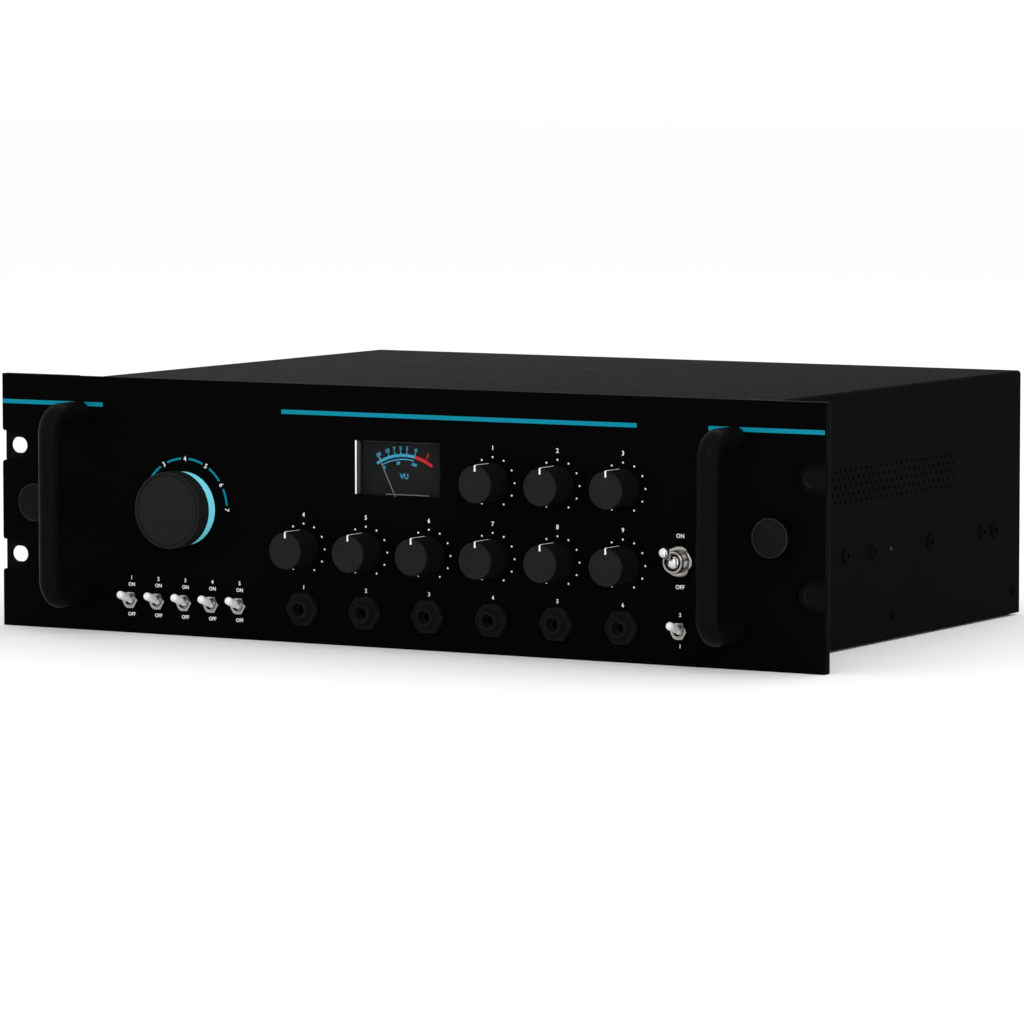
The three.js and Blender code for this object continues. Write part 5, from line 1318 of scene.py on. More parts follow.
# Tape deck
CAPSTAN = (60, 95.55)
ROLLER = (60, 80.45)
ARM_PIVOT = (100, 74)
ARM_HALF = 6
MOTOR = (130, 150)
HEAD_HALF = 6.5
HEAD_FRONT = 92.55
HEAD_CURVE = 2.5
PLAY_HEADS = (-58, -32, -6)
BRIDGE_SCREWS = (-125, -99, -72, -45, -19, 8)
TAPE_RUN = 92
TAPE_TURN = 24
TAPE_ENDS = (-146, 92)
TAPE_THICKNESS = 0.2
FOLD_ENDS = (-134, 80)
FOLD_DEPTH = 98
FOLDS = 6
FOLD_STEPS = 28
SPRING_RADIUS, SPRING_BOTTOM, SPRING_RISE = 5.5, 87.1, 0.035
GROOVES = (34, 6)
BELT_GAPS = (1.5, 0.3)
BELT_BOTTOM, BELT_HEIGHT = 62.3, 4
DECK_TOP = 84.3


def upright(form, place, profile, steps=64, closed=False):
    """Spins a profile of (radius, height) round a standing axis."""
    return form.turn(profile, (*place, 0), UPWARD, steps, closed)


def make_head(name, x, replaced=()):
    low, high = extent("erase_head")
    outline = [(x + HEAD_HALF, high.y, low.z), (x - HEAD_HALF, high.y, low.z)]
    for i in range(17):
        share = i / 8 - 1
        outline.append((x + share * HEAD_HALF, HEAD_FRONT + HEAD_CURVE * share * share, low.z))
    shield = Form().prism(outline, (0, 0, high.z - low.z), 0.35)
    shield.done(name + "_shield", "drawer", "steel", "polished", replaced)
    gap = Form().block((x - 0.15, HEAD_FRONT - 0.03, 89.2), (x + 0.15, HEAD_FRONT + 0.6, 94.8))
    pins = Form()
    for side in SIDES:
        slit = x + side * 2.6
        gap.block((slit - 0.1, HEAD_FRONT + 0.32, 89.6), (slit + 0.1, HEAD_FRONT + 0.9, 94.4))
        for z in (90.2, 94.2):
            pins.rod((x + side * 3, high.y, z), BACKWARD, 0.45, -0.5, 2.6, 12)
        screw(pins, (x + side * 3.8, high.y - 3.4, high.z), UPWARD, HEADS["head"])
    gap.done(name + "_gap", "drawer", "brass", "brass")
    pins.done(name + "_pins", "drawer", "brass", "brass")


def make_bridge():
    low, high = extent("head_block")
    plate = Form().block((low.x, HEAD_FRONT, low.z), (high.x, high.y, low.z + 2), 0.3)
    plate.done("head_bridge", "drawer", "aluminium", "aluminium", ["head_block"])
    screws, guides = Form(), Form()
    screw_rows(screws, BRIDGE_SCREWS, [high.y - 4.5], [low.z + 2], UPWARD, HEADS["bridge"])
    screws.done("bridge_screws", "drawer", "steel", "polished")
    bottom = low.z + 1.7
    for x in (low.x + 5, high.x - 5):
        upright(guides, (x, HEAD_FRONT + 2.5), [
            (0, bottom), (2.5, bottom), (2.5, 87.7), (3.8, 87.7), (4, 87.9), (4, 88.3), (3.8, 88.5),
            (2.5, 88.5), (2.5, 95.45), (3.8, 95.45), (4, 95.65), (4, 96.05), (3.8, 96.25), (1.6, 96.25),
            (1.4, 97), (0, 97)])
    guides.done("tape_guides", "drawer", "steel", "polished")


def tape_path():
    """The loop seen from above: along the heads, round, folded back and round."""
    left, right = TAPE_ENDS
    middle = TAPE_RUN + TAPE_TURN
    far = TAPE_RUN + 2 * TAPE_TURN

    def end_turn(x, start):
        return sweep((x, middle), TAPE_TURN, start, start + math.pi, 20)[1:-1]

    points = [(left, TAPE_RUN), (right, TAPE_RUN)] + end_turn(right, -QUARTER)
    steps = FOLDS * FOLD_STEPS
    for i in range(steps + 1):
        share = i / steps
        x = FOLD_ENDS[1] + (FOLD_ENDS[0] - FOLD_ENDS[1]) * share
        points.append((x, far + FOLD_DEPTH * (1 - math.cos(TURN * FOLDS * share)) / 2))
    return points + end_turn(left, QUARTER)


def make_tape():
    low, high = extent("tape_loop")
    form = Form()
    verts = [form.bm.verts.new((x, y, low.z)) for x, y in tape_path()]
    lines = [form.bm.edges.new(pair) for pair in zip(verts, verts[1:] + verts[:1])]
    made = bmesh.ops.extrude_edge_only(form.bm, edges=lines)["geom"]
    bmesh.ops.translate(form.bm, verts=points_of(made), vec=(0, 0, high.z - low.z))
    bmesh.ops.recalc_face_normals(form.bm, faces=form.bm.faces)
    bmesh.ops.solidify(form.bm, geom=list(form.bm.faces), thickness=TAPE_THICKNESS)
    form.done("tape_band", "drawer", "tape", "tape", ["tape_loop"])


def make_capstan():
    wheel = upright(Form(), CAPSTAN, [
        (0, 58.3), (35.6, 58.3), (36, 58.7), (36, 61), (34, 61.6), (34, 67), (36, 67.6), (36, 69.9),
        (35.6, 70.3), (28.4, 70.3), (28, 69.9), (28, 67.3), (9, 67.3), (9, 72.9), (8.6, 73.3), (3, 73.3),
        (3, 97.9), (2.6, 98.3), (0, 98.3)], 128)
    holes = Form()
    for place in around(CAPSTAN, 18.5, 6):
        upright(holes, place, [(0, 57), (5.5, 57), (5.5, 68.5), (0, 68.5)], 32)
    wheel.combine(holes)
    wheel.done("capstan_wheel", "capstan", "steel", "steel", ["capstan"])


def make_roller():
    rubber = upright(Form(), ROLLER, [
        (5, 87.5), (10.6, 87.5), (11, 87.9), (11, 96.05), (10.6, 96.45), (5, 96.45)], 96, True)
    rubber.done("pinch_tyre", "pinch_roller", "rubber", "rubber", ["pinch_roller"])
    hub = upright(Form(), ROLLER, [(1.9, 87.7), (5, 87.7), (5, 96.2), (1.9, 96.2)], 48, True)
    marks = Form()
    for place in around(ROLLER, 3.5, 3):
        upright(marks, place, [(0, 95), (0.7, 95), (0.7, 97), (0, 97)], 16)
    hub.combine(marks)
    hub.done("pinch_hub", "pinch_roller", "brass", "brass")


def make_arm():
    low = extent("pinch_arm")[0]
    heading = math.atan2(ROLLER[1] - ARM_PIVOT[1], ROLLER[0] - ARM_PIVOT[0])
    outline = []
    for centre, start in ((ROLLER, heading - QUARTER), (ARM_PIVOT, heading + QUARTER)):
        outline += [(x, y, low.z) for x, y in sweep(centre, ARM_HALF, start, start + math.pi, 16)]
    arm = Form().prism(outline, (0, 0, 2), 0.25)
    bore = [(0, low.z - 1), (2.9, low.z - 1), (2.9, low.z + 3), (0, low.z + 3)]
    arm.combine(upright(Form(), ARM_PIVOT, bore, 32))
    arm.done("pinch_lever", "pinch_arm", "steel", "steel", ["pinch_arm"])
    sleeve = upright(Form(), ARM_PIVOT, [
        (2.9, 86.3), (4.9, 86.3), (4.9, 89.9), (4.6, 90.3), (3.2, 90.3), (2.9, 90)], 48, True)
    upright(sleeve, ROLLER, [
        (0, 86.3), (1.6, 86.3), (1.6, 96.7), (1.2, 96.7), (1.2, 97.1), (1.6, 97.1), (1.4, 97.4),
        (0, 97.4)], 32)
    sleeve.done("pinch_pins", "pinch_arm", "steel", "polished")
    coil = [(x, y, SPRING_BOTTOM + i * SPRING_RISE) for i, (x, y) in
            enumerate(sweep(ARM_PIVOT, SPRING_RADIUS, heading, heading + 3 * TURN, 72))]
    start, along, aside = coil[0], 10 * math.cos(heading), 2.4 * math.sin(heading)
    tail = (start[0] + along + aside, start[1] + 10 * math.sin(heading), SPRING_BOTTOM)
    Form().wire([tail] + coil, 0.35).done("pinch_spring", "pinch_arm", "steel", "polished")


def make_motor():
    low, high = extent("motor")
    x, y = MOTOR
    can = upright(Form(), MOTOR, [
        (0, 6.6), (24, 6.6), (24, 11.8), (23.5, 12.2), (23.5, 41), (24, 41.4), (24, 45), (23.5, 46),
        (20.5, 47.4), (8.5, 47.4), (8.2, 47.9), (2.3, 47.9), (1.9, 47.5), (1.9, 38.9), (0, 38.9)], 96)
    can.done("motor_can", "drawer", "steel", "zinc", ["motor"])
    base = Form().block((low.x, low.y, low.z), (high.x, high.y, low.z + 2), 0.4)
    base.done("motor_base", "drawer", "steel", "zinc")
    screws = Form()
    for i, j in product(SIDES, SIDES):
        screw(screws, (x + i * 24, y + j * 24, low.z + 2), UPWARD, HEADS["motor"])
        screw(screws, (x + i * 11.5, y + j * 11.5, 47.4), UPWARD, HEADS["cover"])
    screws.done("motor_screws", "drawer", "steel", "polished")
    wheel = upright(Form(), MOTOR, [
        (0, 39.9), (1.6, 39.9), (1.6, 58.3), (7.7, 58.3), (8, 58.6), (8, 61), (6, 61.6), (6, 67),
        (8, 67.6), (8, 70), (7.7, 70.3), (0, 70.3)])
    wheel.combine(Form().block((x - 5, y - 0.5, 69.5), (x + 5, y + 0.5, 71)))
    wheel.done("motor_wheel", "motor_pulley", "brass", "brass", ["motor_pulley"])


def make_belt():
    span = Vector(MOTOR) - Vector(CAPSTAN)
    heading = math.atan2(span.y, span.x)
    spread = math.acos((GROOVES[0] - GROOVES[1]) / span.length)

    def ring(gap, z):
        pairs = sweep(CAPSTAN, GROOVES[0] + gap, heading + spread, heading + TURN - spread, 32)
        pairs += sweep(MOTOR, GROOVES[1] + gap, heading - spread, heading + spread, 32)
        return [(x, y, z) for x, y in pairs]

    outer, inner = BELT_GAPS
    belt = Form().prism(ring(outer, BELT_BOTTOM), (0, 0, BELT_HEIGHT))
    belt.combine(Form().prism(ring(inner, BELT_BOTTOM - 1.3), (0, 0, BELT_HEIGHT + 3)))
    belt.done("belt_band", "drawer", "rubber", "rubber", ["drive_belt"])


def make_chamber():
    low, high = extent("chamber_cover")
    sheet = Form().block((low.x, low.y, low.z), (high.x, high.y, low.z + 2), 0.3)
    sheet.done("chamber_sheet", "drawer", "clear", "window", ["chamber_cover"])
    nuts, screws = Form(), Form()
    middle = (low.y + high.y) / 2
    washer = [(0, 100.6), (4.5, 100.6), (4.5, 101), (3.2, 101.1), (3.2, 101.6), (0, 101.6)]
    stand = Matrix.Translation((0, middle, 101.6)) @ Matrix.Rotation(-QUARTER, 4, "X")
    for x in (low.x + 7.5, high.x - 7.5):
        upright(nuts, (x, middle), washer, 48)
        fluted(nuts, x, 0, [(3.2, 0, 0), (3.5, 0.12, 0.3), (3.5, 0.12, 2.2), (3.2, 0, 2.5)], 40, stand)
    nuts.done("chamber_nuts", "drawer", "brass", "brass")
    screw_rows(screws, (-176, 176), (70, 168, 266), [DECK_TOP], UPWARD, HEADS["deck"])
    screw_rows(screws, (-120, -40, 40, 120), [67], [DECK_TOP], UPWARD, HEADS["deck_front"])
    screw_rows(screws, (0.9 * low.x, 0.5 * low.x, 0, 0.8 * high.x), (low.y + 4.5, high.y - 4.5),
               [high.z - 3.5], UPWARD, HEADS["cover"])
    screws.done("deck_screws", "drawer", "steel", "polished")


class DECK_OT_transport(bpy.types.Operator):
    """Tape deck: heads, guides, tape, capstan, pinch roller, motor and belt."""

    bl_idname = "tape_echo.transport"
    bl_label = "Tape deck"

    def execute(self, context):
        for name in ("erase", "record"):
            make_head(name, centre_of(name + "_head").x, [name + "_head"])
        for number, x in enumerate(PLAY_HEADS, 1):
            make_head(f"play_{number}", x)
        make_bridge()
        make_tape()
        make_capstan()
        make_roller()
        make_arm()
        make_motor()
        make_belt()
        make_chamber()
        return {"FINISHED"}


# Electronics
BOARD_BOTTOM, BOARD_TOP = 16, 17.6
TOROID = (-120, 214)
TOROID_ROUNDING = 9
RESISTOR_ROWS = (16, 50, 58, 66)
RESISTOR_LEVEL = 19
LEAD = ((-4.4, 17.5), (-4.2, 18.8), (-3.8, 19), (3.8, 19), (4.2, 18.8), (4.4, 17.5))
SINK_BOTTOM, SINK_TOP = 17.7, 37.6
SOCKETS = (-140, -84, -28, 28)
PIN_PITCH = 2.5
DECK_PITCH = 9.8
LOOMS = ((-50, -127), (0, -71), (60, -15), (110, 41))
LOOM_WIRES, LOOM_PITCH, LOOM_STEPS = 7, 1.35, 14


def make_transformer():
    ring = []
    for i, corner in enumerate(((31, 15.3), (31, 35.3), (21, 35.3), (21, 15.3))):
        ring += sweep(corner, TOROID_ROUNDING, (i - 1) * QUARTER, i * QUARTER, 8)
    winding = upright(Form(), TOROID, ring, 96, True)
    winding.done("toroid_winding", "drawer", "winding", "winding", ["transformer"])
    pad = upright(Form(), TOROID, [(3, 43.9), (25, 43.9), (25, 44.6), (3, 44.6)], 64, True)
    pad.done("toroid_pad", "drawer", "rubber", "rubber")
    dish = upright(Form(), TOROID, [
        (3, 44), (16, 44), (23.5, 44.8), (24, 45.4), (23.4, 45.8), (16, 45.1), (3, 45.1)], 64, True)
    upright(dish, TOROID, [(0, 6.3), (2.9, 6.3), (2.9, 48.4), (2.5, 48.8), (0, 48.8)], 32)
    corners = [(x, y, 45.1) for x, y in around(TOROID, 5.6, 6)]
    dish.take(Form().prism(corners, (0, 0, 2.6), 0.3))
    dish.done("toroid_dish", "drawer", "steel", "zinc")


def make_tank():
    low, high = extent("reverb_tank")
    screws, shells, cores = Form(), Form(), Form()
    screw_rows(screws, (low.x + 3, (low.x + high.x) / 2, high.x - 3), (low.y + 3, high.y - 3),
               [low.z + 2], UPWARD, HEADS["tank"])
    screws.done("tank_screws", "drawer", "steel", "polished")
    for x in (low.x + 22, low.x + 42):
        centre = (x, low.y + 6, 22)
        shells.tube(centre, OUTWARD, 3.1, 4.1, 0, 7.5, 32, 0.15)
        shells.tube(centre, OUTWARD, 3.3, 6, 0, 0.8, 32, 0.15)
        cores.rod(centre, OUTWARD, 3.05, 0, 3.5, 24)
    shells.done("tank_sockets", "drawer", "chrome", "chrome")
    cores.done("tank_socket_cores", "drawer", "dark_plastic", "socket")


def make_main_board():
    low, high = extent("main_board")
    plate = Form().block((low.x, low.y, BOARD_BOTTOM), (high.x, high.y, BOARD_TOP), 0.2, 1)
    plate.done("main_plate", "drawer", "circuit_board", "circuit", ["main_board"])
    posts, screws = Form(), Form()
    for x, y in product((low.x + 6, high.x - 6), (low.y + 6, high.y - 6)):
        upright(posts, (x, y), [(0, 6.2), (3, 6.2), (3, 15.95), (0, 15.95)], 6)
        screw(screws, (x, y, BOARD_TOP), UPWARD, HEADS["board"])
    posts.done("main_posts", "drawer", "brass", "brass")
    screws.done("main_screws", "drawer", "steel", "polished")

    sleeves, tops = Form(), Form()
    for i in range(4):
        place = (low.x + 26 + 20 * i, high.y - 26)
        upright(sleeves, place, [
            (0, 17.7), (7.7, 17.7), (8, 18.2), (8, 19.6), (7.6, 20.1), (7.6, 20.5), (8, 21), (8, 38.9),
            (7.6, 39.4), (6.6, 39.4), (0, 39.4)], 48)
        upright(tops, place, [(0, 39.3), (6.3, 39.3), (6.2, 39.6), (0, 39.6)], 40)
    sleeves.done("main_capacitors", "drawer", "circuit_board", "sleeve")
    tops.done("main_capacitor_tops", "drawer", "steel", "zinc")


def make_chips():
    low = extent("main_board")[0]
    chips, legs = Form(), Form()
    for i in range(6):
        x, y = low.x + 26 + 30 * i, low.y + 30
        chips.block((x, y, BOARD_TOP + 0.5), (x + 20, y + 7, 20.6), 0.3, 1)
        for j, side in product(range(8), (y - 0.5, y + 7.1)):
            leg = x + 1 + PIN_PITCH * j
            legs.block((leg, side, BOARD_TOP - 0.1), (leg + 0.6, side + 0.4, 19.4))
    chips.done("main_chips", "drawer", "circuit_board", "resin")
    legs.done("main_chip_legs", "drawer", "circuit_board", "polished")


def make_resistors():
    """Rows of resistors; the last row leaves room for the heat sink."""
    low = extent("main_board")[0]
    sink_edge = 8 - low.x * 0.1
    bodies, leads = Form(), Form()
    for row, rise in enumerate(RESISTOR_ROWS):
        y = low.y + rise
        for i in range(18):
            x = low.x + 22 + 11.5 * i + 3 * (row % 2)
            if rise == RESISTOR_ROWS[-1] and x > sink_edge:
                continue
            bodies.rod((x, y, RESISTOR_LEVEL), BACKWARD, 1.1, -2.9, 2.9, 12, 0.3)
            leads.wire([(x, y + along, z) for along, z in LEAD], 0.3, 6)
    bodies.done("main_resistors", "drawer", "circuit_board", "ceramic")
    leads.done("main_resistor_wires", "drawer", "circuit_board", "polished")


def make_sink_and_sockets():
    low = extent("main_board")[0]
    sink = Form().block((10, 160, SINK_BOTTOM), (70, 162, SINK_TOP), 0.2, 1)
    for i in range(6):
        fin = 10 + 11.6 * i
        sink.block((fin, 150, SINK_BOTTOM), (fin + 2, 160.5, SINK_TOP), 0.2, 1)
    sink.done("main_heat_sink", "drawer", "aluminium", "aluminium")

    sockets, pins = Form(), Form()
    for x in SOCKETS:
        sockets.block((x, low.y + 2.5, BOARD_TOP), (x + 26, low.y + 8.5, 23), 0.4)
        for j in range(10):
            pin = x + 1.8 + PIN_PITCH * j
            pins.block((pin, low.y + 5, 22.9), (pin + 0.6, low.y + 5.6, 24.2))
    sockets.done("main_sockets", "drawer", "circuit_board", "socket")
    pins.done("main_pins", "drawer", "circuit_board", "brass")


def make_control_board():
    low, high = extent("control_board")
    places = [centre_of(node) for node in knob_nodes()]
    left = min(place.x for place in places if place.z > 70) - 11
    can_back = high.y - 1.6
    plate = Form().block((low.x, can_back, low.z), (high.x, high.y, low.z + 22), 0.2, 1)
    plate.block((left, can_back, low.z + 21.5), (high.x, high.y, high.z), 0.2, 1)
    plate.done("control_plate", "drawer", "circuit_board", "circuit", ["control_board"])
    cans, bushings, lugs = Form(), Form(), Form()
    for place in places:
        centre, z = (place.x, 0, place.z), place.z - 10.4
        cans.tube(centre, OUTWARD, 3.5, 8.2, -can_back + 0.1, -4.1, 48, 0.5)
        cans.tube(centre, OUTWARD, 4.6, 7.6, -4.3, -3.35, 48, 0.1)
        bushings.turn(threaded(*POT_THREAD), centre, steps=32, closed=True)
        bushings.hexagon(place.x, place.z, 10.5, 0.2, 0.75, 4.4, 0.1)
        for x in (place.x - 4, place.x, place.x + 4):
            lugs.block((x - 0.9, 6, z), (x + 0.9, 6.5, z + 2.5), 0.1, 1)
            lugs.block((x - 0.4, 6.1, z), (x + 0.4, can_back + 2.2, z + 0.4), 0.05, 1)
    cans.done("control_pots", "drawer", "steel", "zinc")
    bushings.done("control_bushings", "drawer", "chrome", "nickel")
    lugs.done("control_lugs", "drawer", "chrome", "nickel")


def make_mode_switch():
    place = centre_of("mode_switch")
    back = extent("mode_switch")[1].y
    centre = (place.x, 0, place.z)
    core = Form().tube(centre, OUTWARD, 3.4, 5, -7, 3, 48, 0.2)
    core.tube(centre, OUTWARD, 3.4, 9, -13, -5.8, 48, 0.3)
    core.done("mode_switch_core", "drawer", "steel", "zinc", ["mode_switch"])
    decks, contacts, rods = Form(), Form(), Form()
    for i, bore in enumerate((3.5, 3.5, 1.5)):
        front = 3.3 + DECK_PITCH * i
        decks.tube(centre, OUTWARD, bore, 14.4, -front - 2.4, -front, 64, 0.3)
        for x, z in around((place.x, place.z), 13, 12):
            contacts.rod((x, 0, z), OUTWARD, 0.7, -front - 3.2, -front, 8)
    for side in SIDES:
        rods.rod((place.x + side * 10.6, 0, place.z), OUTWARD, 1.3, -back + 0.1, -3.4, 16, 0.2)
    decks.done("mode_switch_decks", "drawer", "dark_plastic", "ceramic")
    contacts.done("mode_switch_contacts", "drawer", "brass", "brass")
    rods.done("mode_switch_rods", "drawer", "steel", "zinc")


def loom_wire(start, end, shift):
    """One wire's path: out of the control board, over and down to the main board."""
    points = []
    for j in range(LOOM_STEPS + 1):
        share = j / LOOM_STEPS
        ease = share * share * (3 - 2 * share)
        hump = math.sin(math.pi * share)
        points.append((start + (end - start) * ease + shift, 15.6 + 47.6 * ease + 4 * hump,
                       40 - 16.2 * ease + 11 * hump * (1 - share)))
    return points


def make_looms():
    """Flat cables from the control board down to the main board."""
    greys, reds = Form(), Form()
    for start, end in LOOMS:
        for i in range(LOOM_WIRES):
            (greys if i else reds).wire(loom_wire(start, end, (i - 3) * LOOM_PITCH), 0.65, 6)
    greys.done("loom_grey", "drawer", "dark_plastic", "loom_grey")
    reds.done("loom_red", "drawer", "dark_plastic", "loom_red")


class ELECTRONICS_OT_boards(bpy.types.Operator):
    """Transformer, spring tank, boards, controls behind the panel and flat cables."""

    bl_idname = "tape_echo.electronics"
    bl_label = "Electronics"

    def execute(self, context):
        make_transformer()
        make_tank()
        make_main_board()
        make_chips()
        make_resistors()
        make_sink_and_sockets()
        make_control_board()
        make_mode_switch()
        make_looms()
        return {"FINISHED"}


# Rear and sheet metal
INLET_SETBACK = 0.15
INLET_MOUTH = ((-12.25, -8.25), (12.25, -8.25), (12.25, 4.25), (8.25, 8.25), (-8.25, 8.25), (-12.25, 4.25))


def make_inlet():
    low, high = extent("mains_inlet")
    x, z = (low.x + high.x) / 2, (low.z + high.z) / 2
    back = high.y - INLET_SETBACK
    socket_x = x - 5
    body = Form().block((low.x, high.y - 2.5, low.z), (high.x, back, high.z), 0.6)
    body.combine(Form().block((x - 22, low.y, z - 13.5), (x + 22, back - 2, z + 13.5), 0.5), "UNION")
    mouth = [(socket_x + px, back - 15, z + pz) for px, pz in INLET_MOUTH]
    body.combine(Form().prism(mouth, (0, 17, 0)))
    body.combine(Form().block((x + 14.5, back - 1.5, z - 10), (x + 21.5, back + OVERRUN, z + 10)))
    body.done("inlet_body", "case", "dark_plastic", "resin", ["mains_inlet"])
    pins, screws = Form(), Form()
    for i, rise in ((-1, -2), (0, 2), (1, -2)):
        px, pz = socket_x + 7 * i, z + rise
        pins.block((px - 1, back - 16, pz - 2), (px + 1, back - 4, pz + 2), 0.3)
    pins.done("inlet_pins", "case", "brass", "polished")
    holder = Form().block((x + 14.8, back - 1.6, z - 9.7), (x + 21.2, back - 0.2, z + 9.7), 0.4)
    holder.block((x + 16.5, back - 0.5, z + 5), (x + 19.5, back - 0.05, z + 8), 0.15)
    holder.done("inlet_fuse_holder", "case", "dark_plastic", "housing")
    for side in SIDES:
        screw(screws, (x + side * 20, back, z + 12.5 * side), BACKWARD, HEADS["inlet"])
    screws.done("inlet_screws", "case", "steel", "rim")


def make_sheet_screws():
    screws, rails = Form(), Form()
    back = extent("rear_panel")[1].y
    screw_rows(screws, (-190, -95, 0, 95, 190), [back], (8, 122), BACKWARD, HEADS["rear"])
    screws.done("rear_screws", "case", "black_case", "rim")
    half = extent("drawer_tray")[1].x
    for side in SIDES:
        screw_rows(rails, [side * (half - 10)], (70, 150, 250), [SLIDE_LEVEL], (-side, 0, 0),
                   HEADS["slide"])
        screw_rows(rails, [side * (half - 4)], [4.8], (20, 45, 95), BACKWARD, HEADS["panel"])
    rails.done("tray_screws", "drawer", "steel", "polished")


class SHEET_OT_rear(bpy.types.Operator):
    """Mains inlet and the screws of the sheet metal."""

    bl_idname = "tape_echo.rear"
    bl_label = "Rear and screws"

    def execute(self, context):
        make_inlet()
        make_sheet_screws()
        return {"FINISHED"}


# Finishes of the frame's own nodes, also of those that a piece stands for
NODE_FINISHES = {
    "case_floor": "case", "rear_panel": "case", "mains_inlet": "housing",
    "slide_outer_left": "zinc", "slide_outer_right": "zinc",
    "slide_middle_left": "zinc", "slide_middle_right": "zinc",
    "slide_inner_left": "zinc", "slide_inner_right": "zinc",
    "drawer_tray": "zinc", "control_board": "circuit", "mode_switch": "housing",
    "vu_meter_case": "dial", "deck_plate": "aluminium", "chamber_cover": "window",
    "tape_loop": "tape", "head_block": "aluminium", "erase_head": "polished", "record_head": "polished",
    "capstan": "steel", "pinch_arm": "steel", "pinch_roller": "rubber", "motor": "steel",
    "motor_pulley": "brass", "drive_belt": "rubber", "transformer": "winding",
    "reverb_tank": "steel", "main_board": "circuit",
}


class FRAME_OT_finishes(bpy.types.Operator):
    """Finishes of the frame's own nodes."""

    bl_idname = "tape_echo.frame"
    bl_label = "Frame finishes"

    def execute(self, context):
        for node, finish in NODE_FINISHES.items():
            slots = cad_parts[node].data.materials
            slots.clear()
            slots.append(finishes()[finish])
        return {"FINISHED"}


# Stage
CAMERA_PLACE = (1532.8, -2560.3, 321.15)
CAMERA_TARGET = (66.53, 0, 72.25)
CAMERA_ROLL = -0.028
CAMERA_LENS = 208.59
LIGHT_STRENGTH = 1.0
SEEN_STRENGTH = 1.0
LAMPS = (
    ("lamp_key", (1.7, -1.9, 1.2), 1.4, 16),
    ("lamp_fill", (-1.2, -2.2, 1.6), 2.0, 1.5),
    ("lamp_back", (0.4, 1.8, 1.9), 1.6, 6),
)
LAMP_AIM = Vector((0, 0, 0.06))


def make_camera():
    data = bpy.data.cameras.new("camera")
    data.lens = CAMERA_LENS
    data.sensor_width = 36
    data.clip_end = 50
    camera = bpy.data.objects.new("camera", data)
    bpy.context.scene.collection.objects.link(camera)
    place = TO_FRAME @ Vector(CAMERA_PLACE)
    aim = TO_FRAME @ Vector(CAMERA_TARGET)
    look = (aim - place).to_track_quat("-Z", "Y").to_matrix().to_4x4()
    roll = Matrix.Rotation(math.radians(CAMERA_ROLL), 4, "Z")
    camera.matrix_world = Matrix.Translation(place) @ look @ roll
    bpy.context.scene.camera = camera


def make_lamp(name, place, size, power):
    data = bpy.data.lights.new(name, "AREA")
    data.size = size
    data.energy = power
    lamp = bpy.data.objects.new(name, data)
    bpy.context.scene.collection.objects.link(lamp)
    lamp.location = place
    lamp.rotation_mode = "QUATERNION"
    lamp.rotation_quaternion = (LAMP_AIM - Vector(place)).to_track_quat("-Z", "Y")


def make_world():
    world = bpy.data.worlds.new("studio")
    world.use_nodes = True
    nodes, links = world.node_tree.nodes, world.node_tree.links
    nodes.clear()
    path = nodes.new("ShaderNodeLightPath")
    seen = path.outputs["Is Camera Ray"]
    for ray in ("Is Glossy Ray", "Is Transmission Ray"):
        either = nodes.new("ShaderNodeMath")
        either.operation = "MAXIMUM"
        links.new(seen, either.inputs[0])
        links.new(path.outputs[ray], either.inputs[1])
        seen = either.outputs[0]
    strength = nodes.new("ShaderNodeMix")
    strength.data_type = "FLOAT"
    strength.inputs[2].default_value = LIGHT_STRENGTH
    strength.inputs[3].default_value = SEEN_STRENGTH
    links.new(seen, strength.inputs[0])
    glow = nodes.new("ShaderNodeBackground")
    glow.inputs["Color"].default_value = (1, 1, 1, 1)
    links.new(strength.outputs[0], glow.inputs["Strength"])
    output = nodes.new("ShaderNodeOutputWorld")
    links.new(glow.outputs[0], output.inputs["Surface"])
    bpy.context.scene.world = world


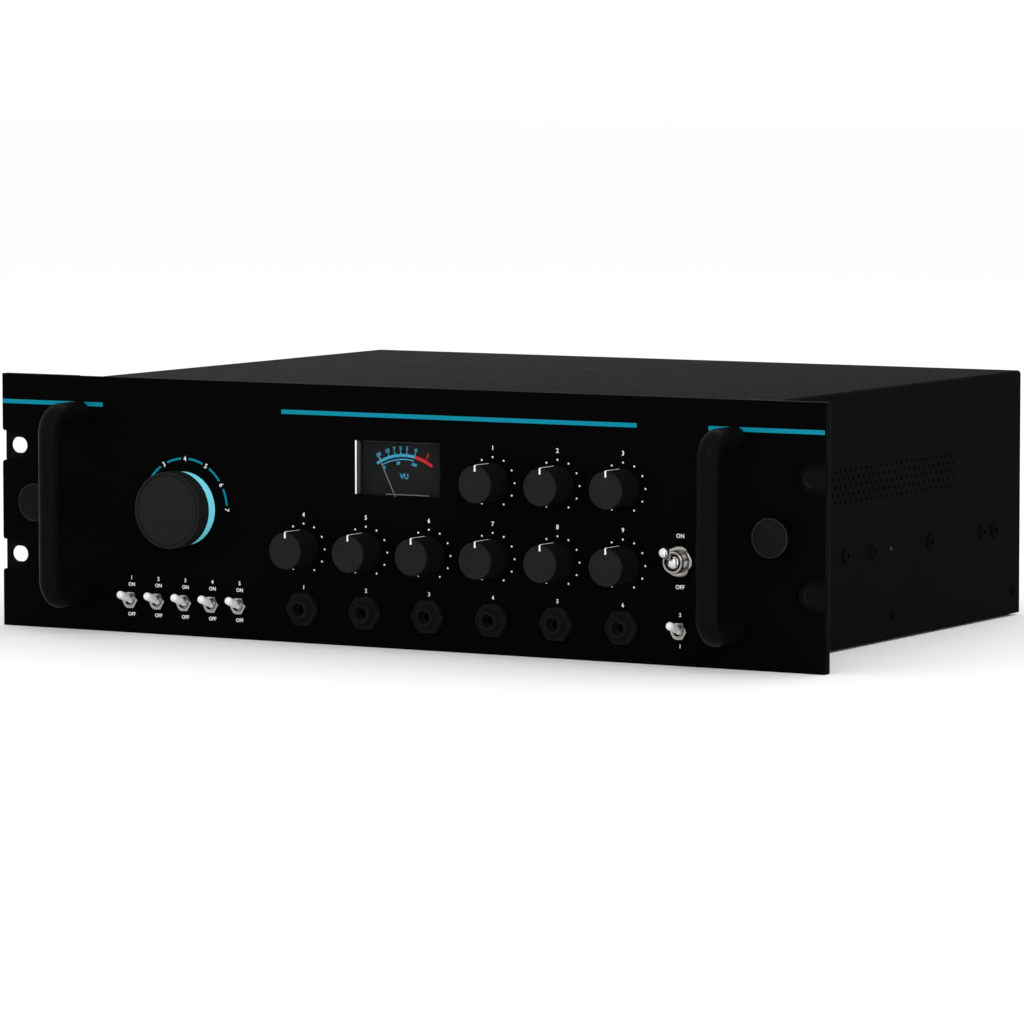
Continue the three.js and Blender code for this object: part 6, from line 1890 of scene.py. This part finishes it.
def make_floor():
    finish = Finish("floor_pale", (0.985, 0.985, 0.985), 0.9, Specular_IOR_Level=0.05)
    mesh = bpy.data.meshes.new("floor")
    bm = bmesh.new()
    bmesh.ops.create_grid(bm, x_segments=1, y_segments=1, size=12)
    bm.to_mesh(mesh)
    bm.free()
    mesh.materials.append(finish.material)
    floor = bpy.data.objects.new("floor", mesh)
    bpy.context.scene.collection.objects.link(floor)


class STAGE_OT_studio(bpy.types.Operator):
    """Pale floor, soft light and the camera."""

    bl_idname = "tape_echo.stage"
    bl_label = "Stage"

    def execute(self, context):
        context.scene.view_settings.view_transform = "Standard"
        make_world()
        make_floor()
        make_camera()
        for lamp in LAMPS:
            make_lamp(*lamp)
        return {"FINISHED"}


OPERATORS = (
    STAGE_OT_studio, FRAME_OT_finishes, PANEL_OT_plate, PANEL_OT_print, KNOBS_OT_small, KNOBS_OT_mode,
    GRIPS_OT_handles, SWITCHES_OT_toggles, JACKS_OT_row, METER_OT_level, CASE_OT_shell, DECK_OT_transport,
    ELECTRONICS_OT_boards, SHEET_OT_rear,
)


class TAPEECHO_PT_pieces(bpy.types.Panel):
    """Lists the operators and the values they read."""

    bl_label = "Tape echo"
    bl_space_type = "VIEW_3D"
    bl_region_type = "UI"
    bl_category = "Tape echo"

    def draw(self, context):
        for operator in OPERATORS:
            self.layout.operator(operator.bl_idname)
        for group in (context.scene.tape_echo_sizes, context.scene.tape_echo_colours):
            for entry in group.bl_rna.properties:
                if entry.type == "FLOAT":
                    self.layout.prop(group, entry.identifier)


CLASSES = (TapeEchoSizes, TapeEchoColours, *OPERATORS, TAPEECHO_PT_pieces)


def register():
    for entry in CLASSES:
        bpy.utils.register_class(entry)
    bpy.types.Scene.tape_echo_sizes = PointerProperty(type=TapeEchoSizes)
    bpy.types.Scene.tape_echo_colours = PointerProperty(type=TapeEchoColours)


def unregister():
    del bpy.types.Scene.tape_echo_colours
    del bpy.types.Scene.tape_echo_sizes
    for entry in reversed(CLASSES):
        bpy.utils.unregister_class(entry)


def main():
    register()
    for operator in OPERATORS:
        space, name = operator.bl_idname.split(".")
        getattr(getattr(bpy.ops, space), name)()


if __name__ == "__main__":
    main()
